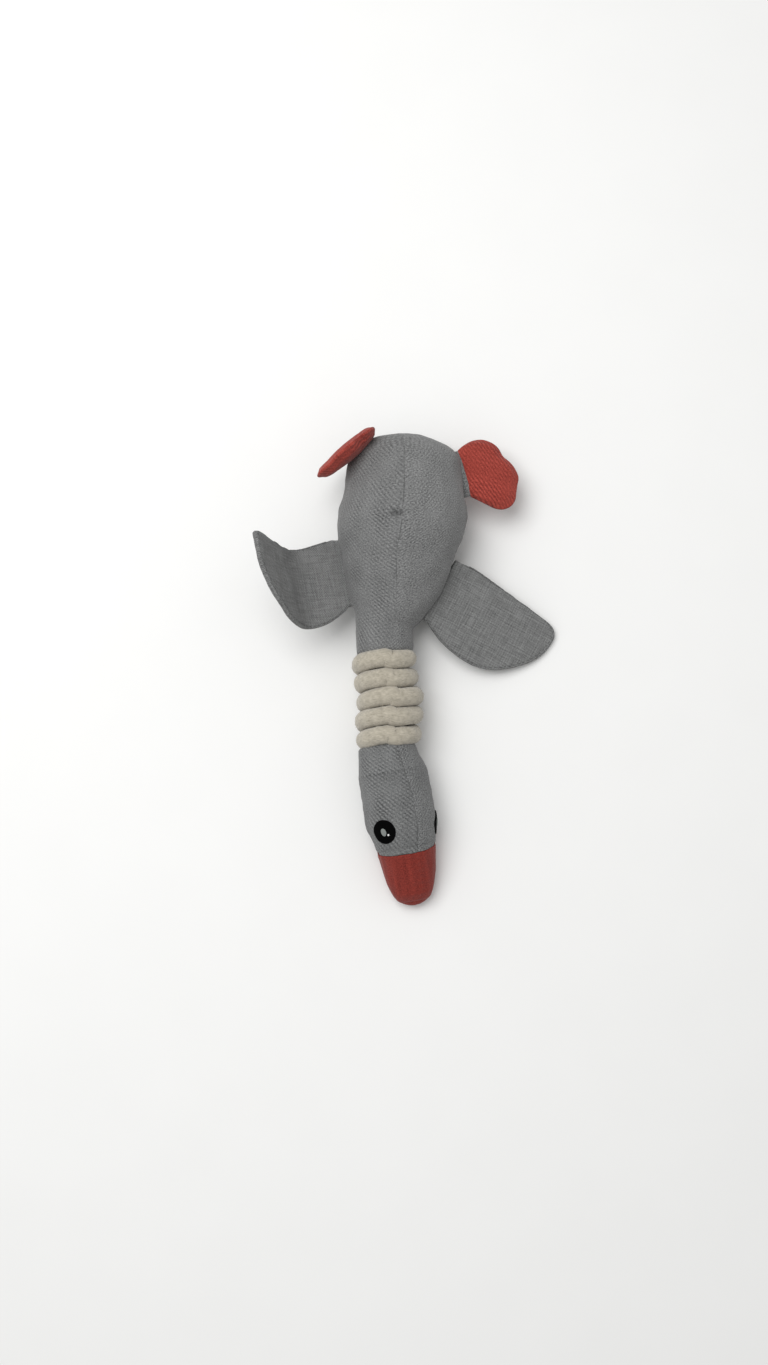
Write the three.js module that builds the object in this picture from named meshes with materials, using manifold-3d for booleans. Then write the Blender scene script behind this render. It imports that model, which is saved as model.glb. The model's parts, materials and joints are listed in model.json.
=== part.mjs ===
// Stuffed goose dog toy with a rope-wound neck, lying on its belly.
// Millimetres, +Z up, beak towards -Y, tail towards +Y.
// Cloth panels are thin shells over stuffing. The neck, head, wings and feet turn on their own hinges.
import * as THREE from 'three';
import * as BufferGeometryUtils from 'three/addons/utils/BufferGeometryUtils.js';
import Module from 'manifold-3d';

const wasm = await Module();
wasm.setup();

// Cloth, fits and cuts
const clothThickness = 1.2; // one layer of linen-like cloth
const seamGap = 0.3; // between sewn pieces, and between a cloth and what it holds
const jointClearance = 0.4; // round a ball that turns in its socket
const floorSink = 0.5; // how much of the stuffed underside is pressed flat by the floor
const overrun = 60; // how far a cutting block runs past what it cuts

// Pivots in the middle of the body's and the head's rounded ends
const pivotBallRadius = 19.4;
const pivotHeight = 25.1;
const pivotLift = pivotHeight - pivotBallRadius + floorSink; // of the balls, over the unpressed underside

// Body
const bodyLength = 134.5; // neck pivot to tail
const bodyHalfWidth = 44;
const bodyHalfHeight = 31;
const bodyWidthShares = [[0, 0], [0.035, 0.42], [0.1, 0.7], [0.16, 0.8], [0.24, 0.87], [0.34, 0.94],
  [0.46, 1], [0.53, 0.965], [0.65, 0.865], [0.74, 0.795], [0.84, 0.69], [0.92, 0.57],
  [1, pivotBallRadius / bodyHalfWidth]];
const bodyHeightShares = [[0, 0], [0.035, 0.38], [0.1, 0.62], [0.2, 0.82], [0.32, 0.94], [0.5, 1],
  [0.7, 0.9], [0.85, 0.77], [1, pivotBallRadius / bodyHalfHeight]];
const bodyDriftShares = [[0, 0.3], [0.34, 0.29], [0.5, 0.26], [0.65, 0.21], [0.84, 0.15], [0.93, 0.09],
  [1, 0]];
const bodyUndersideShares = [[0, 0.68], [0.035, 0.42], [0.1, 0.25], [0.2, 0.06], [0.3, 0], [0.68, 0],
  [0.84, 0.05], [1, pivotLift / bodyHalfHeight]];
const sideSeamHeight = 25; // of the seams between the back panels and the belly
const bodySquareness = 0.35; // how much fuller than an ellipse the widest section is

// Neck
const neckLength = 97.7; // pivot to pivot
const neckTurn = THREE.MathUtils.degToRad(2.6); // the neck leans to the right
const collarRadius = 19.7;
const collarStartShare = 0.5; // of the socket's radius, where the collar's rim starts ahead of the pivot
const waistRadius = 9.8; // the neck's cloth under the rope

// Rope
const ropeDiameter = 11.6;
const ropeTurns = 4.5;
const ropePitch = 12.7;
const ropeClimbShare = 0.8; // how much of each turn's climb lies underneath
const ropeSides = 6;
const ropeStepsPerTurn = 24;

// Head and beak
const headLength = 90.4; // pivot to the beak's tip
const headHalfWidth = 23.7;
const headHalfHeight = 23;
const headTurn = THREE.MathUtils.degToRad(10.4);
const headRoll = THREE.MathUtils.degToRad(28); // the head has rolled onto its right cheek
const beakSeamShare = 0.4; // of the head's length from the tip
const headWidthShares = [[0, 0], [0.035, 0.39], [0.08, 0.54], [0.14, 0.63], [0.22, 0.71], [0.34, 0.785],
  [0.45, 0.875], [0.56, 0.93], [0.68, 0.97], [0.79, 1], [0.86, 0.985], [0.92, 0.93],
  [1, pivotBallRadius / headHalfWidth]];
const headHeightShares = [[0, 0], [0.05, 0.3], [0.14, 0.46], [0.28, 0.64], [0.4, 0.765], [0.6, 0.93],
  [0.8, 1], [0.9, 0.95], [1, pivotBallRadius / headHalfHeight]];
const headUndersideShares = [[0, 0.36], [0.04, 0.12], [0.1, 0.05], [0.24, 0], [0.82, 0], [0.92, 0.1],
  [1, pivotLift / headHalfHeight]];
const headDriftShares = [[0, 0], [0.4, 0.03], [0.75, 0.08], [0.9, 0.12], [1, 0]];
const headSquareness = 0.1;

// Eyes
const eyeDiameter = 16;
const pupilDiameter = 5.6;
const eyePatchThickness = 0.9;
const pupilThickness = 0.6;
const eyeAlongShare = 0.58; // of the head's length from the tip
const eyeSpread = THREE.MathUtils.degToRad(60); // each side of the head's seam

// Wings, one pattern for both
const wingRootLength = 46.5;
const wingReach = 83.4;
const wingCrinkleThickness = 0.8;
const wingMarginShare = 0.08; // of the reach, before the crinkle sheet starts
const wingHemShare = 0.9; // how far out it reaches
const wingRimShares = [[0.03, 1.012], [0.17, 1.02], [0.36, 0.99], [0.56, 0.95], [0.74, 0.91],
  [0.92, 0.85], [0.99, 0.74], [1, 0.6], [0.98, 0.4], [0.91, 0.19], [0.8, 0], [0.67, -0.15],
  [0.53, -0.22], [0.38, -0.22], [0.22, -0.17], [0.09, -0.08], [0.03, -0.035]];
const leftWingRootShare = 0.555; // of the body's length, the tail end of each wing's root
const rightWingRootShare = 0.64;
const leftWingHeight = 27;
const rightWingHeight = 22;
const rightWingDroop = THREE.MathUtils.degToRad(13.5);
const leftWingInnerSlope = THREE.MathUtils.degToRad(18);
const leftWingOuterSlope = THREE.MathUtils.degToRad(68);
const wingCreaseShare = 0.37; // of the reach, where the left wing is creased upwards
const creaseStartShare = 0.6; // of the way out to the crease, where the bend starts and ends
const creaseEndShare = 1.4;
const leftWingSweep = 10; // how far its tip has swung towards the tail

// Feet, one pattern for both
const footRootLength = 31.7;
const footReach = 36;
const footFullness = 3.2; // half the padding's thickness in the middle
const footMarginShare = 0.08;
const footHemShare = 0.88;
const cuffSquareness = 4; // how much flatter than an ellipse the cuff's section is
const cuffFlatShare = 0.96; // how near the cuff's rounded section comes to its narrow edges
const footSeatShare = 0.45; // how much of the body's length a foot's root is kept clear of
const cuffLength = 2.4;
const cuffHalfThickness = 2.4;
const footRimShares = [[0.04, 1.035], [0.16, 1.1], [0.35, 1.15], [0.54, 1.12], [0.7, 1], [0.79, 0.84],
  [0.83, 0.66], [0.93, 0.49], [0.99, 0.3], [1, 0.12], [0.93, -0.05], [0.87, -0.2], [0.82, -0.33],
  [0.71, -0.44], [0.56, -0.47], [0.42, -0.42], [0.26, -0.27], [0.12, -0.13], [0.04, -0.055]];
const footHeightShare = 0.9; // of the body's half height
const rightFootFacing = THREE.MathUtils.degToRad(15.7); // from +X towards the tail
const leftFootFacing = THREE.MathUtils.degToRad(132);
const rightFootLift = THREE.MathUtils.degToRad(-6);
const leftFootLift = THREE.MathUtils.degToRad(96);
const rightFootMiddleShare = 0.225; // of the body's length from the tail, the middle of each foot's root
const leftFootMiddleShare = 0.13;

// Squeaker
const bulbRadius = 17;
const bulbLength = 28;
const bulbWall = 1.4;
const bulbNeckRadius = 6;
const bulbNeckLength = 7;
const squeakerTubeWall = 1;
const reedThickness = 0.4;
const squeakerAlongShare = 0.5;
const pocketSlotWidth = 8;

// How finely the forms are divided
const formSides = 24;
const bodyStations = 20;
const headStations = 18;
const ballRings = 4;
const fillingSides = formSides / 2;
const squeakerSides = 16;
const squeakerSteps = 8;
const leafAcross = 14;
const leafAlong = 6;
const bendSteps = 24;
const stationCrowding = 0.7; // how much closer the sections stand at a form's two ends
const rootLeans = [60, 30].map((lean) => THREE.MathUtils.degToRad(lean)); // of the rows that round a root off
const seatSteps = 40;

/** A cloth, rope or rubber finish. */
function finish(color, roughness = 0.95, metalness = 0) {
  return new THREE.MeshStandardMaterial({ color, roughness, metalness });
}

const greyCloth = finish(0x747575);
const redCloth = finish(0x9a4238);
const beakCloth = finish(0x7c362f);
const creamRope = finish(0xa8a191);
const whiteStuffing = finish(0xe9e7e2, 1);
const blackPatch = finish(0x060606, 0.6);
const greyPupil = finish(0x7a807c, 0.6);
const clearRubber = finish(0xd9dcd4, 0.5);
const whitePlastic = finish(0xf0f0ec, 0.4);
const crinkleFoil = finish(0xc9ced2, 0.35);

/** Reads a table of [place, value] shares with a smooth curve through its points. */
function readShares(shares, place) {
  let k = 0;
  while (k < shares.length - 2 && place > shares[k + 1][0]) k += 1;
  const slopeAt = (i) => {
    const before = shares[Math.max(i - 1, 0)];
    const after = shares[Math.min(i + 1, shares.length - 1)];
    return (after[1] - before[1]) / (after[0] - before[0]);
  };
  const [x0, y0] = shares[k];
  const [x1, y1] = shares[k + 1];
  const span = x1 - x0;
  const u = (place - x0) / span;
  const u2 = u * u;
  const u3 = u2 * u;
  return (2 * u3 - 3 * u2 + 1) * y0 + (u3 - 2 * u2 + u) * span * slopeAt(k)
    + (3 * u2 - 2 * u3) * y1 + (u3 - u2) * span * slopeAt(k + 1);
}

/** Turns a geometry inside out if its faces point inwards. */
function facingOut(geometry) {
  const p = geometry.attributes.position;
  const index = geometry.index.array;
  const [a, b, c] = [new THREE.Vector3(), new THREE.Vector3(), new THREE.Vector3()];
  let volume = 0;
  for (let i = 0; i < index.length; i += 3) {
    a.fromBufferAttribute(p, index[i]);
    b.fromBufferAttribute(p, index[i + 1]);
    c.fromBufferAttribute(p, index[i + 2]);
    volume += a.dot(b.cross(c));
  }
  if (volume < 0) {
    for (let i = 0; i < index.length; i += 3) {
      [index[i + 1], index[i + 2]] = [index[i + 2], index[i + 1]];
    }
  }
  return geometry;
}

/** Skins closed rings of equally many points and closes both ends onto their middles. */
function skinRings(rings) {
  const sides = rings[0].length;
  const points = rings.flat();
  const middles = [rings[0], rings[rings.length - 1]].map((ring) => {
    const middle = new THREE.Vector3();
    ring.forEach((point) => middle.addScaledVector(point, 1 / sides));
    return middle;
  });
  const faces = [];
  for (let i = 0; i < rings.length - 1; i += 1) {
    for (let k = 0; k < sides; k += 1) {
      const next = (k + 1) % sides;
      const a = i * sides + k;
      const b = i * sides + next;
      faces.push(a, b, b + sides, a, b + sides, a + sides);
    }
  }
  const last = (rings.length - 1) * sides;
  for (let k = 0; k < sides; k += 1) {
    const next = (k + 1) % sides;
    faces.push(points.length, next, k);
    faces.push(points.length + 1, last + k, last + next);
  }
  const geometry = new THREE.BufferGeometry().setFromPoints([...points, ...middles]);
  geometry.setIndex(faces);
  return facingOut(geometry);
}

/** Moves every point of a closed form along its normal. */
function offsetForm(geometry, distance) {
  const moved = geometry.clone();
  moved.computeVertexNormals();
  const { position, normal } = moved.attributes;
  for (let i = 0; i < position.count; i += 1) {
    const point = new THREE.Vector3().fromBufferAttribute(position, i);
    point.addScaledVector(new THREE.Vector3().fromBufferAttribute(normal, i), distance);
    position.setXYZ(i, point.x, point.y, point.z);
  }
  moved.deleteAttribute('normal');
  return moved;
}

/** Makes a solid that can be cut and joined from a closed geometry. */
function solidOf(geometry) {
  const bare = geometry.clone();
  bare.deleteAttribute('normal');
  bare.deleteAttribute('uv');
  const merged = facingOut(BufferGeometryUtils.mergeVertices(bare));
  const vertProperties = new Float32Array(merged.attributes.position.array);
  const triVerts = new Uint32Array(merged.index.array);
  return new wasm.Manifold(new wasm.Mesh({ numProp: 3, vertProperties, triVerts }));
}

/** Gives a cut solid back as a geometry. */
function geometryOf(solid) {
  const mesh = solid.getMesh();
  const geometry = new THREE.BufferGeometry();
  geometry.setAttribute('position', new THREE.BufferAttribute(new Float32Array(mesh.vertProperties), 3));
  geometry.setIndex(new THREE.BufferAttribute(new Uint32Array(mesh.triVerts), 1));
  return geometry;
}

/** A named piece in its finish. */
function piece(name, shape, material) {
  const mesh = new THREE.Mesh(shape.getMesh ? geometryOf(shape) : shape, material);
  mesh.name = name;
  return mesh;
}

/** A cutting block, overrun past everything, on the side of a plane that its normal points to. */
function halfSpace(point, normal) {
  const size = bodyLength + neckLength + headLength + overrun;
  const block = new THREE.BoxGeometry(2 * size, 2 * size, size);
  block.translate(0, 0, size / 2);
  const outward = normal.clone().normalize();
  const turn = new THREE.Quaternion().setFromUnitVectors(new THREE.Vector3(0, 0, 1), outward);
  block.applyQuaternion(turn);
  block.translate(point.x, point.y, point.z);
  return solidOf(block);
}

/** A solid ball round a point. */
function ballSolid(centre, radius) {
  const ball = new THREE.SphereGeometry(radius, formSides, formSides / 2);
  ball.rotateX(Math.PI / 2);
  ball.translate(centre.x, centre.y, centre.z);
  return solidOf(ball);
}

const pivot = new THREE.Vector3(0, 0, pivotHeight);

/** A stuffed form: its rounded end at share 0, a ball round its pivot at share 1. */
class StuffedForm {
  constructor(tables) {
    Object.assign(this, tables);
  }

  /** Half width, half height and middle of the section at a share of the length. */
  section(share) {
    const halfWidth = this.halfWidth * readShares(this.widthShares, share);
    const halfHeight = this.halfHeight * readShares(this.heightShares, share);
    const underside = this.halfHeight * readShares(this.undersideShares, share);
    const drift = this.halfWidth * readShares(this.driftShares, share);
    const squareness = 2 + this.squareness * Math.sin(Math.PI * share);
    return { halfWidth, halfHeight, squareness, x: drift, z: underside + halfHeight - this.sink };
  }

  /** A point on the form's skin, the angle counted from +X towards +Z. */
  skinPoint(share, angle) {
    const { halfWidth, halfHeight, squareness, x, z } = this.section(share);
    const round = (value) => Math.sign(value) * Math.abs(value) ** (2 / squareness);
    const across = halfWidth * round(Math.cos(angle));
    return new THREE.Vector3(x + across, this.along(share), z + halfHeight * round(Math.sin(angle)));
  }

  /** How far the form reaches sideways at a share and a height, at the least to its middle line. */
  reachAt(share, height, side) {
    const { halfWidth, halfHeight, squareness, x, z } = this.section(share);
    const level = Math.min(Math.abs((height - z) / halfHeight), 1);
    return x + side * halfWidth * (1 - level ** squareness) ** (1 / squareness);
  }

  /** The closed skin, with its ball end. */
  build(stations, sides = formSides) {
    const rings = [];
    for (let i = 1; i <= stations; i += 1) {
      const even = i / stations;
      const share = even - (stationCrowding * Math.sin(2 * Math.PI * even)) / (2 * Math.PI);
      const ring = [];
      for (let k = 0; k < sides; k += 1) ring.push(this.skinPoint(share, (2 * Math.PI * k) / sides));
      rings.push(ring);
    }
    const heading = Math.sign(this.along(1) - this.along(0));
    for (let i = 1; i <= ballRings; i += 1) {
      const lean = (Math.PI / 2) * (i / (ballRings + 1));
      const ring = [];
      for (let k = 0; k < sides; k += 1) {
        const angle = (2 * Math.PI * k) / sides;
        ring.push(new THREE.Vector3(Math.cos(angle) * Math.cos(lean), heading * Math.sin(lean),
          Math.sin(angle) * Math.cos(lean)).multiplyScalar(pivotBallRadius).add(pivot));
      }
      rings.push(ring);
    }
    const pole = new THREE.Vector3(0, heading * pivotBallRadius, 0).add(pivot);
    const geometry = skinRings(rings);
    const { position } = geometry.attributes;
    position.setXYZ(position.count - 1, pole.x, pole.y, pole.z);
    position.setXYZ(position.count - 2, this.section(0).x, this.along(0), this.section(0).z);
    return geometry;
  }
}

const body = new StuffedForm({
  halfWidth: bodyHalfWidth,
  halfHeight: bodyHalfHeight,
  widthShares: bodyWidthShares,
  heightShares: bodyHeightShares,
  undersideShares: bodyUndersideShares,
  driftShares: bodyDriftShares,
  squareness: bodySquareness,
  sink: floorSink,
  along: (share) => bodyLength * (1 - share),
});
const head = new StuffedForm({
  halfWidth: headHalfWidth,
  halfHeight: headHalfHeight,
  widthShares: headWidthShares,
  heightShares: headHeightShares,
  undersideShares: headUndersideShares,
  driftShares: headDriftShares,
  squareness: headSquareness,
  sink: floorSink,
  along: (share) => -headLength * (1 - share),
});
const up = new THREE.Vector3(0, 0, 1);
const floor = halfSpace(new THREE.Vector3(), up.clone().negate());

/** Two planes a seam apart, as the solids on either side of the seam. */
function seamSides(point, normal) {
  const outward = normal.clone().normalize();
  return [
    halfSpace(point.clone().addScaledVector(outward, seamGap / 2), outward),
    halfSpace(point.clone().addScaledVector(outward, -seamGap / 2), outward.clone().negate()),
  ];
}

/** The hollow cloth skin of a form, pressed flat where it lies on the floor. */
function skinOf(form) {
  return solidOf(form).subtract(solidOf(offsetForm(form, -clothThickness))).subtract(floor);
}

/** The squeaker's outline, as a profile round its own long axis, grown by a clearance. */
function bulbProfile(radius, length, neckRadius, neckLength) {
  const profile = [new THREE.Vector2(0, -length / 2)];
  const leanEnd = Math.asin(neckRadius / radius);
  for (let i = 1; i <= squeakerSteps; i += 1) {
    const lean = (Math.PI - leanEnd) * (i / squeakerSteps);
    profile.push(new THREE.Vector2(radius * Math.sin(lean), (-length / 2) * Math.cos(lean)));
  }
  profile.push(new THREE.Vector2(neckRadius, length / 2 + neckLength));
  return profile;
}

/** Back panels, belly, stuffing with its squeaker pocket, and the squeaker. */
function makeBody() {
  const group = new THREE.Group();
  group.name = 'body';
  const form = body.build(bodyStations);
  const skin = skinOf(form);
  const [above, below] = seamSides(new THREE.Vector3(0, 0, sideSeamHeight), up);
  const tail = body.section(0).x;
  const [right, left] = seamSides(new THREE.Vector3(), new THREE.Vector3(body.along(0), -tail, 0));
  const back = skin.intersect(above);
  group.add(piece('body_back_left', back.intersect(left), greyCloth));
  group.add(piece('body_back_right', back.intersect(right), greyCloth));
  group.add(piece('body_belly', skin.intersect(below), greyCloth));

  const pocketSection = body.section(squeakerAlongShare);
  const pocketPlace = new THREE.Vector3(pocketSection.x, body.along(squeakerAlongShare), pocketSection.z);
  const tubeRadius = bulbNeckRadius - bulbWall - seamGap;
  const tubeLength = 2 * bulbNeckLength;
  const flangeThickness = squeakerTubeWall;
  const pocketLength = bulbLength + 2 * seamGap;
  const pocketNeck = bulbNeckLength + flangeThickness + 2 * seamGap;
  const pocket = new THREE.LatheGeometry(
    [...bulbProfile(bulbRadius + seamGap, pocketLength, bulbNeckRadius + seamGap, pocketNeck),
      new THREE.Vector2(0, pocketLength / 2 + pocketNeck)], squeakerSides);
  pocket.translate(pocketPlace.x, pocketPlace.y, pocketPlace.z);
  const slot = new THREE.BoxGeometry(pocketSlotWidth, bulbRadius, bodyHalfHeight + overrun);
  slot.translate(pocketPlace.x, pocketPlace.y, pocketPlace.z + (bodyHalfHeight + overrun) / 2);
  const filling = solidOf(offsetForm(body.build(bodyStations, fillingSides), -clothThickness - seamGap));
  group.add(piece('body_stuffing', filling.subtract(solidOf(pocket)).subtract(solidOf(slot)), whiteStuffing));

  const outer = bulbProfile(bulbRadius, bulbLength, bulbNeckRadius, bulbNeckLength);
  const inner = bulbProfile(bulbRadius - bulbWall, bulbLength - 2 * bulbWall, bulbNeckRadius - bulbWall,
    bulbNeckLength + bulbWall);
  const bulbWalls = facingOut(new THREE.LatheGeometry([...outer, ...inner.reverse()], squeakerSides));
  const bulb = piece('squeaker_bulb', bulbWalls, clearRubber);
  bulb.position.copy(pocketPlace);
  group.add(bulb);

  const mouth = bulbLength / 2 + bulbNeckLength + seamGap;
  const tubeBore = tubeRadius - squeakerTubeWall;
  const tubeProfile = [
    [tubeBore, mouth + flangeThickness], [tubeBore, mouth - tubeLength], [tubeRadius, mouth - tubeLength],
    [tubeRadius, mouth], [bulbNeckRadius, mouth], [bulbNeckRadius, mouth + flangeThickness],
    [tubeBore, mouth + flangeThickness],
  ].map(([radius, along]) => new THREE.Vector2(radius, along));
  const tubeWalls = facingOut(new THREE.LatheGeometry(tubeProfile, squeakerSides));
  const tube = piece('squeaker_tube', tubeWalls, whitePlastic);
  tube.position.copy(pocketPlace);
  group.add(tube);
  const reedWidth = 2 * Math.sqrt((tubeBore - seamGap) ** 2 - (reedThickness / 2) ** 2);
  const reedBlade = new THREE.BoxGeometry(reedWidth, tubeLength, reedThickness);
  const reed = piece('squeaker_reed', reedBlade, whitePlastic);
  reed.position.copy(pocketPlace).add(new THREE.Vector3(0, mouth - tubeLength / 2, 0));
  group.add(reed);
  return group;
}

const ropeRadius = ropeDiameter / 2;
const ropeRingRadius = waistRadius + seamGap + ropeRadius;
const ropeStart = (neckLength - (Math.round(ropeTurns) - 1) * ropePitch) / 2;

/** The middle of the rope after a number of turns from the first crossing over the top of the neck. */
function ropeMiddle(turn) {
  const angle = 2 * Math.PI * turn;
  const along = ropeStart + ropePitch * (turn - (ropeClimbShare * Math.sin(angle)) / (2 * Math.PI));
  return new THREE.Vector3(-ropeRingRadius * Math.sin(angle), -along, ropeRingRadius * Math.cos(angle));
}

/** The rope as one unbroken tube, each end straight for one diameter. Prints its least gap to itself. */
function ropeTube(radius, report) {
  const first = -(ropeTurns - Math.floor(ropeTurns)) / 2;
  const steps = Math.round(ropeTurns * ropeStepsPerTurn);
  const rings = [];
  const ringAt = (middle, heading, radial) => {
    const side = new THREE.Vector3().crossVectors(heading, radial).normalize();
    const out = new THREE.Vector3().crossVectors(side, heading).normalize();
    return Array.from({ length: ropeSides }, (_, k) => {
      const angle = (2 * Math.PI * k) / ropeSides;
      const point = middle.clone().addScaledVector(out, radius * Math.cos(angle));
      return point.addScaledVector(side, (radius * Math.sin(angle)) / Math.cos(Math.PI / ropeSides));
    });
  };
  const half = 0.5 / ropeStepsPerTurn;
  for (let i = 0; i <= steps; i += 1) {
    const turn = first + (ropeTurns * i) / steps;
    const middle = ropeMiddle(turn);
    const heading = ropeMiddle(turn + half).sub(ropeMiddle(turn - half)).normalize();
    const radial = new THREE.Vector3(middle.x, 0, middle.z);
    const shifted = (distance) => ringAt(middle.clone().addScaledVector(heading, distance), heading, radial);
    if (i === 0) rings.push(shifted(-ropeDiameter));
    rings.push(shifted(0));
    if (i === steps) rings.push(shifted(ropeDiameter));
  }
  if (report) {
    let least = Infinity;
    for (let i = 0; i < rings.length; i += 1) {
      for (let j = i + ropeStepsPerTurn / 2; j < rings.length; j += 1) {
        for (const a of rings[i]) {
          for (const b of rings[j]) least = Math.min(least, a.distanceTo(b));
        }
      }
    }
    console.log(`least gap of the rope to itself: ${least.toFixed(2)} mm`);
  }
  return skinRings(rings);
}

/** The cloth sleeve with a socket at each end, its stuffing and the rope wound on its waist. */
function makeNeck() {
  const group = new THREE.Group();
  group.name = 'neck';
  group.position.copy(pivot);
  group.rotation.z = neckTurn;
  const socketRadius = pivotBallRadius + jointClearance;
  const rim = socketRadius * collarStartShare;
  const shoulder = ropeStart - ropeRadius;
  const half = [[0, rim], [collarRadius, rim], [collarRadius, shoulder],
    [waistRadius, shoulder + ropeRadius / 2]];
  const profile = [...half, ...half.map(([radius, along]) => [radius, neckLength - along]).reverse()];
  const outline = profile.map(([radius, along]) => new THREE.Vector2(radius, -along));
  const spool = new THREE.LatheGeometry(outline, formSides);
  const boreRadius = waistRadius - clothThickness;
  const bore = new THREE.CylinderGeometry(boreRadius, boreRadius, neckLength + 2 * overrun, formSides);
  bore.translate(0, -neckLength / 2, 0);
  const headPivot = new THREE.Vector3(0, -neckLength, 0);
  const sockets = ballSolid(new THREE.Vector3(), socketRadius).add(ballSolid(headPivot, socketRadius));
  const ropeRoom = solidOf(ropeTube(ropeRadius + seamGap, false));
  const sleeve = solidOf(spool).subtract(solidOf(bore)).subtract(sockets).subtract(ropeRoom);
  group.add(piece('neck_sleeve', sleeve, greyCloth));
  const coreRadius = boreRadius - seamGap;
  const core = new THREE.CylinderGeometry(coreRadius, coreRadius, neckLength, fillingSides);
  core.translate(0, -neckLength / 2, 0);
  group.add(piece('neck_stuffing', solidOf(core).subtract(sockets), whiteStuffing));
  group.add(piece('neck_rope', ropeTube(ropeRadius, true), creamRope));
  return group;
}

/** A round patch that follows the head's skin at one eye. */
function eyeDisc(form, angle, diameter, inner, thickness) {
  const place = head.skinPoint(eyeAlongShare, angle);
  const section = head.section(eyeAlongShare);
  const outward = place.clone().sub(new THREE.Vector3(section.x, place.y, section.z)).normalize();
  const punch = new THREE.CylinderGeometry(diameter / 2, diameter / 2, 2 * headHalfWidth, formSides);
  punch.translate(0, headHalfWidth, 0);
  punch.applyQuaternion(new THREE.Quaternion().setFromUnitVectors(new THREE.Vector3(0, 1, 0), outward));
  punch.translate(section.x, place.y, section.z);
  const layer = solidOf(offsetForm(form, inner + thickness)).subtract(solidOf(offsetForm(form, inner)));
  return layer.intersect(solidOf(punch));
}

/** Head and beak panels, their stuffing and the eyes. */
function makeHead() {
  const group = new THREE.Group();
  group.name = 'head';
  group.position.set(neckLength * Math.sin(neckTurn), -neckLength * Math.cos(neckTurn), 0);
  group.rotation.z = headTurn;
  const form = head.build(headStations);
  const skin = skinOf(form);
  const seamPlace = new THREE.Vector3(0, head.along(beakSeamShare), head.section(beakSeamShare).z);
  const rolledUp = new THREE.Vector3(Math.sin(headRoll), 0, Math.cos(headRoll));
  const sideways = new THREE.Vector3().crossVectors(pivot.clone().sub(seamPlace), rolledUp);
  const [right, left] = seamSides(seamPlace, sideways);
  const [headSide, beakSide] = seamSides(seamPlace, new THREE.Vector3(0, 1, 0));
  group.add(piece('head_left_panel', skin.intersect(headSide).intersect(left), greyCloth));
  group.add(piece('head_right_panel', skin.intersect(headSide).intersect(right), greyCloth));
  group.add(piece('beak_left_panel', skin.intersect(beakSide).intersect(left), beakCloth));
  group.add(piece('beak_right_panel', skin.intersect(beakSide).intersect(right), beakCloth));
  const filling = offsetForm(head.build(headStations, fillingSides), -clothThickness - seamGap);
  group.add(piece('head_stuffing', filling, whiteStuffing));
  const pupilInner = 2 * seamGap + eyePatchThickness;
  for (const [name, spread] of [['left', eyeSpread], ['right', -eyeSpread]]) {
    const angle = Math.PI / 2 - headRoll + spread;
    const patch = eyeDisc(form, angle, eyeDiameter, seamGap, eyePatchThickness);
    const pupil = eyeDisc(form, angle, pupilDiameter, pupilInner, pupilThickness);
    group.add(piece(`${name}_eye_patch`, patch, blackPatch));
    group.add(piece(`${name}_eye_pupil`, pupil, greyPupil));
  }
  return group;
}

/** Skins a slab between two grids of points with the same rows and columns. */
function skinSlab(low, high) {
  const rows = low.length;
  const columns = low[0].length;
  const points = [...low.flat(), ...high.flat()];
  const lift = rows * columns;
  const at = (i, j) => i * columns + j;
  const faces = [];
  const quad = (a, b, c, d) => faces.push(a, b, c, a, c, d);
  for (let i = 0; i < rows - 1; i += 1) {
    for (let j = 0; j < columns - 1; j += 1) {
      quad(at(i, j), at(i, j + 1), at(i + 1, j + 1), at(i + 1, j));
      quad(lift + at(i, j), lift + at(i + 1, j), lift + at(i + 1, j + 1), lift + at(i, j + 1));
    }
    const last = columns - 1;
    quad(at(i, 0), at(i + 1, 0), lift + at(i + 1, 0), lift + at(i, 0));
    quad(at(i, last), lift + at(i, last), lift + at(i + 1, last), at(i + 1, last));
  }
  for (let j = 0; j < columns - 1; j += 1) {
    const last = rows - 1;
    quad(at(0, j), lift + at(0, j), lift + at(0, j + 1), at(0, j + 1));
    quad(at(last, j), at(last, j + 1), lift + at(last, j + 1), lift + at(last, j));
  }
  const geometry = new THREE.BufferGeometry().setFromPoints(points);
  geometry.setIndex(faces);
  return facingOut(geometry);
}

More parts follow.
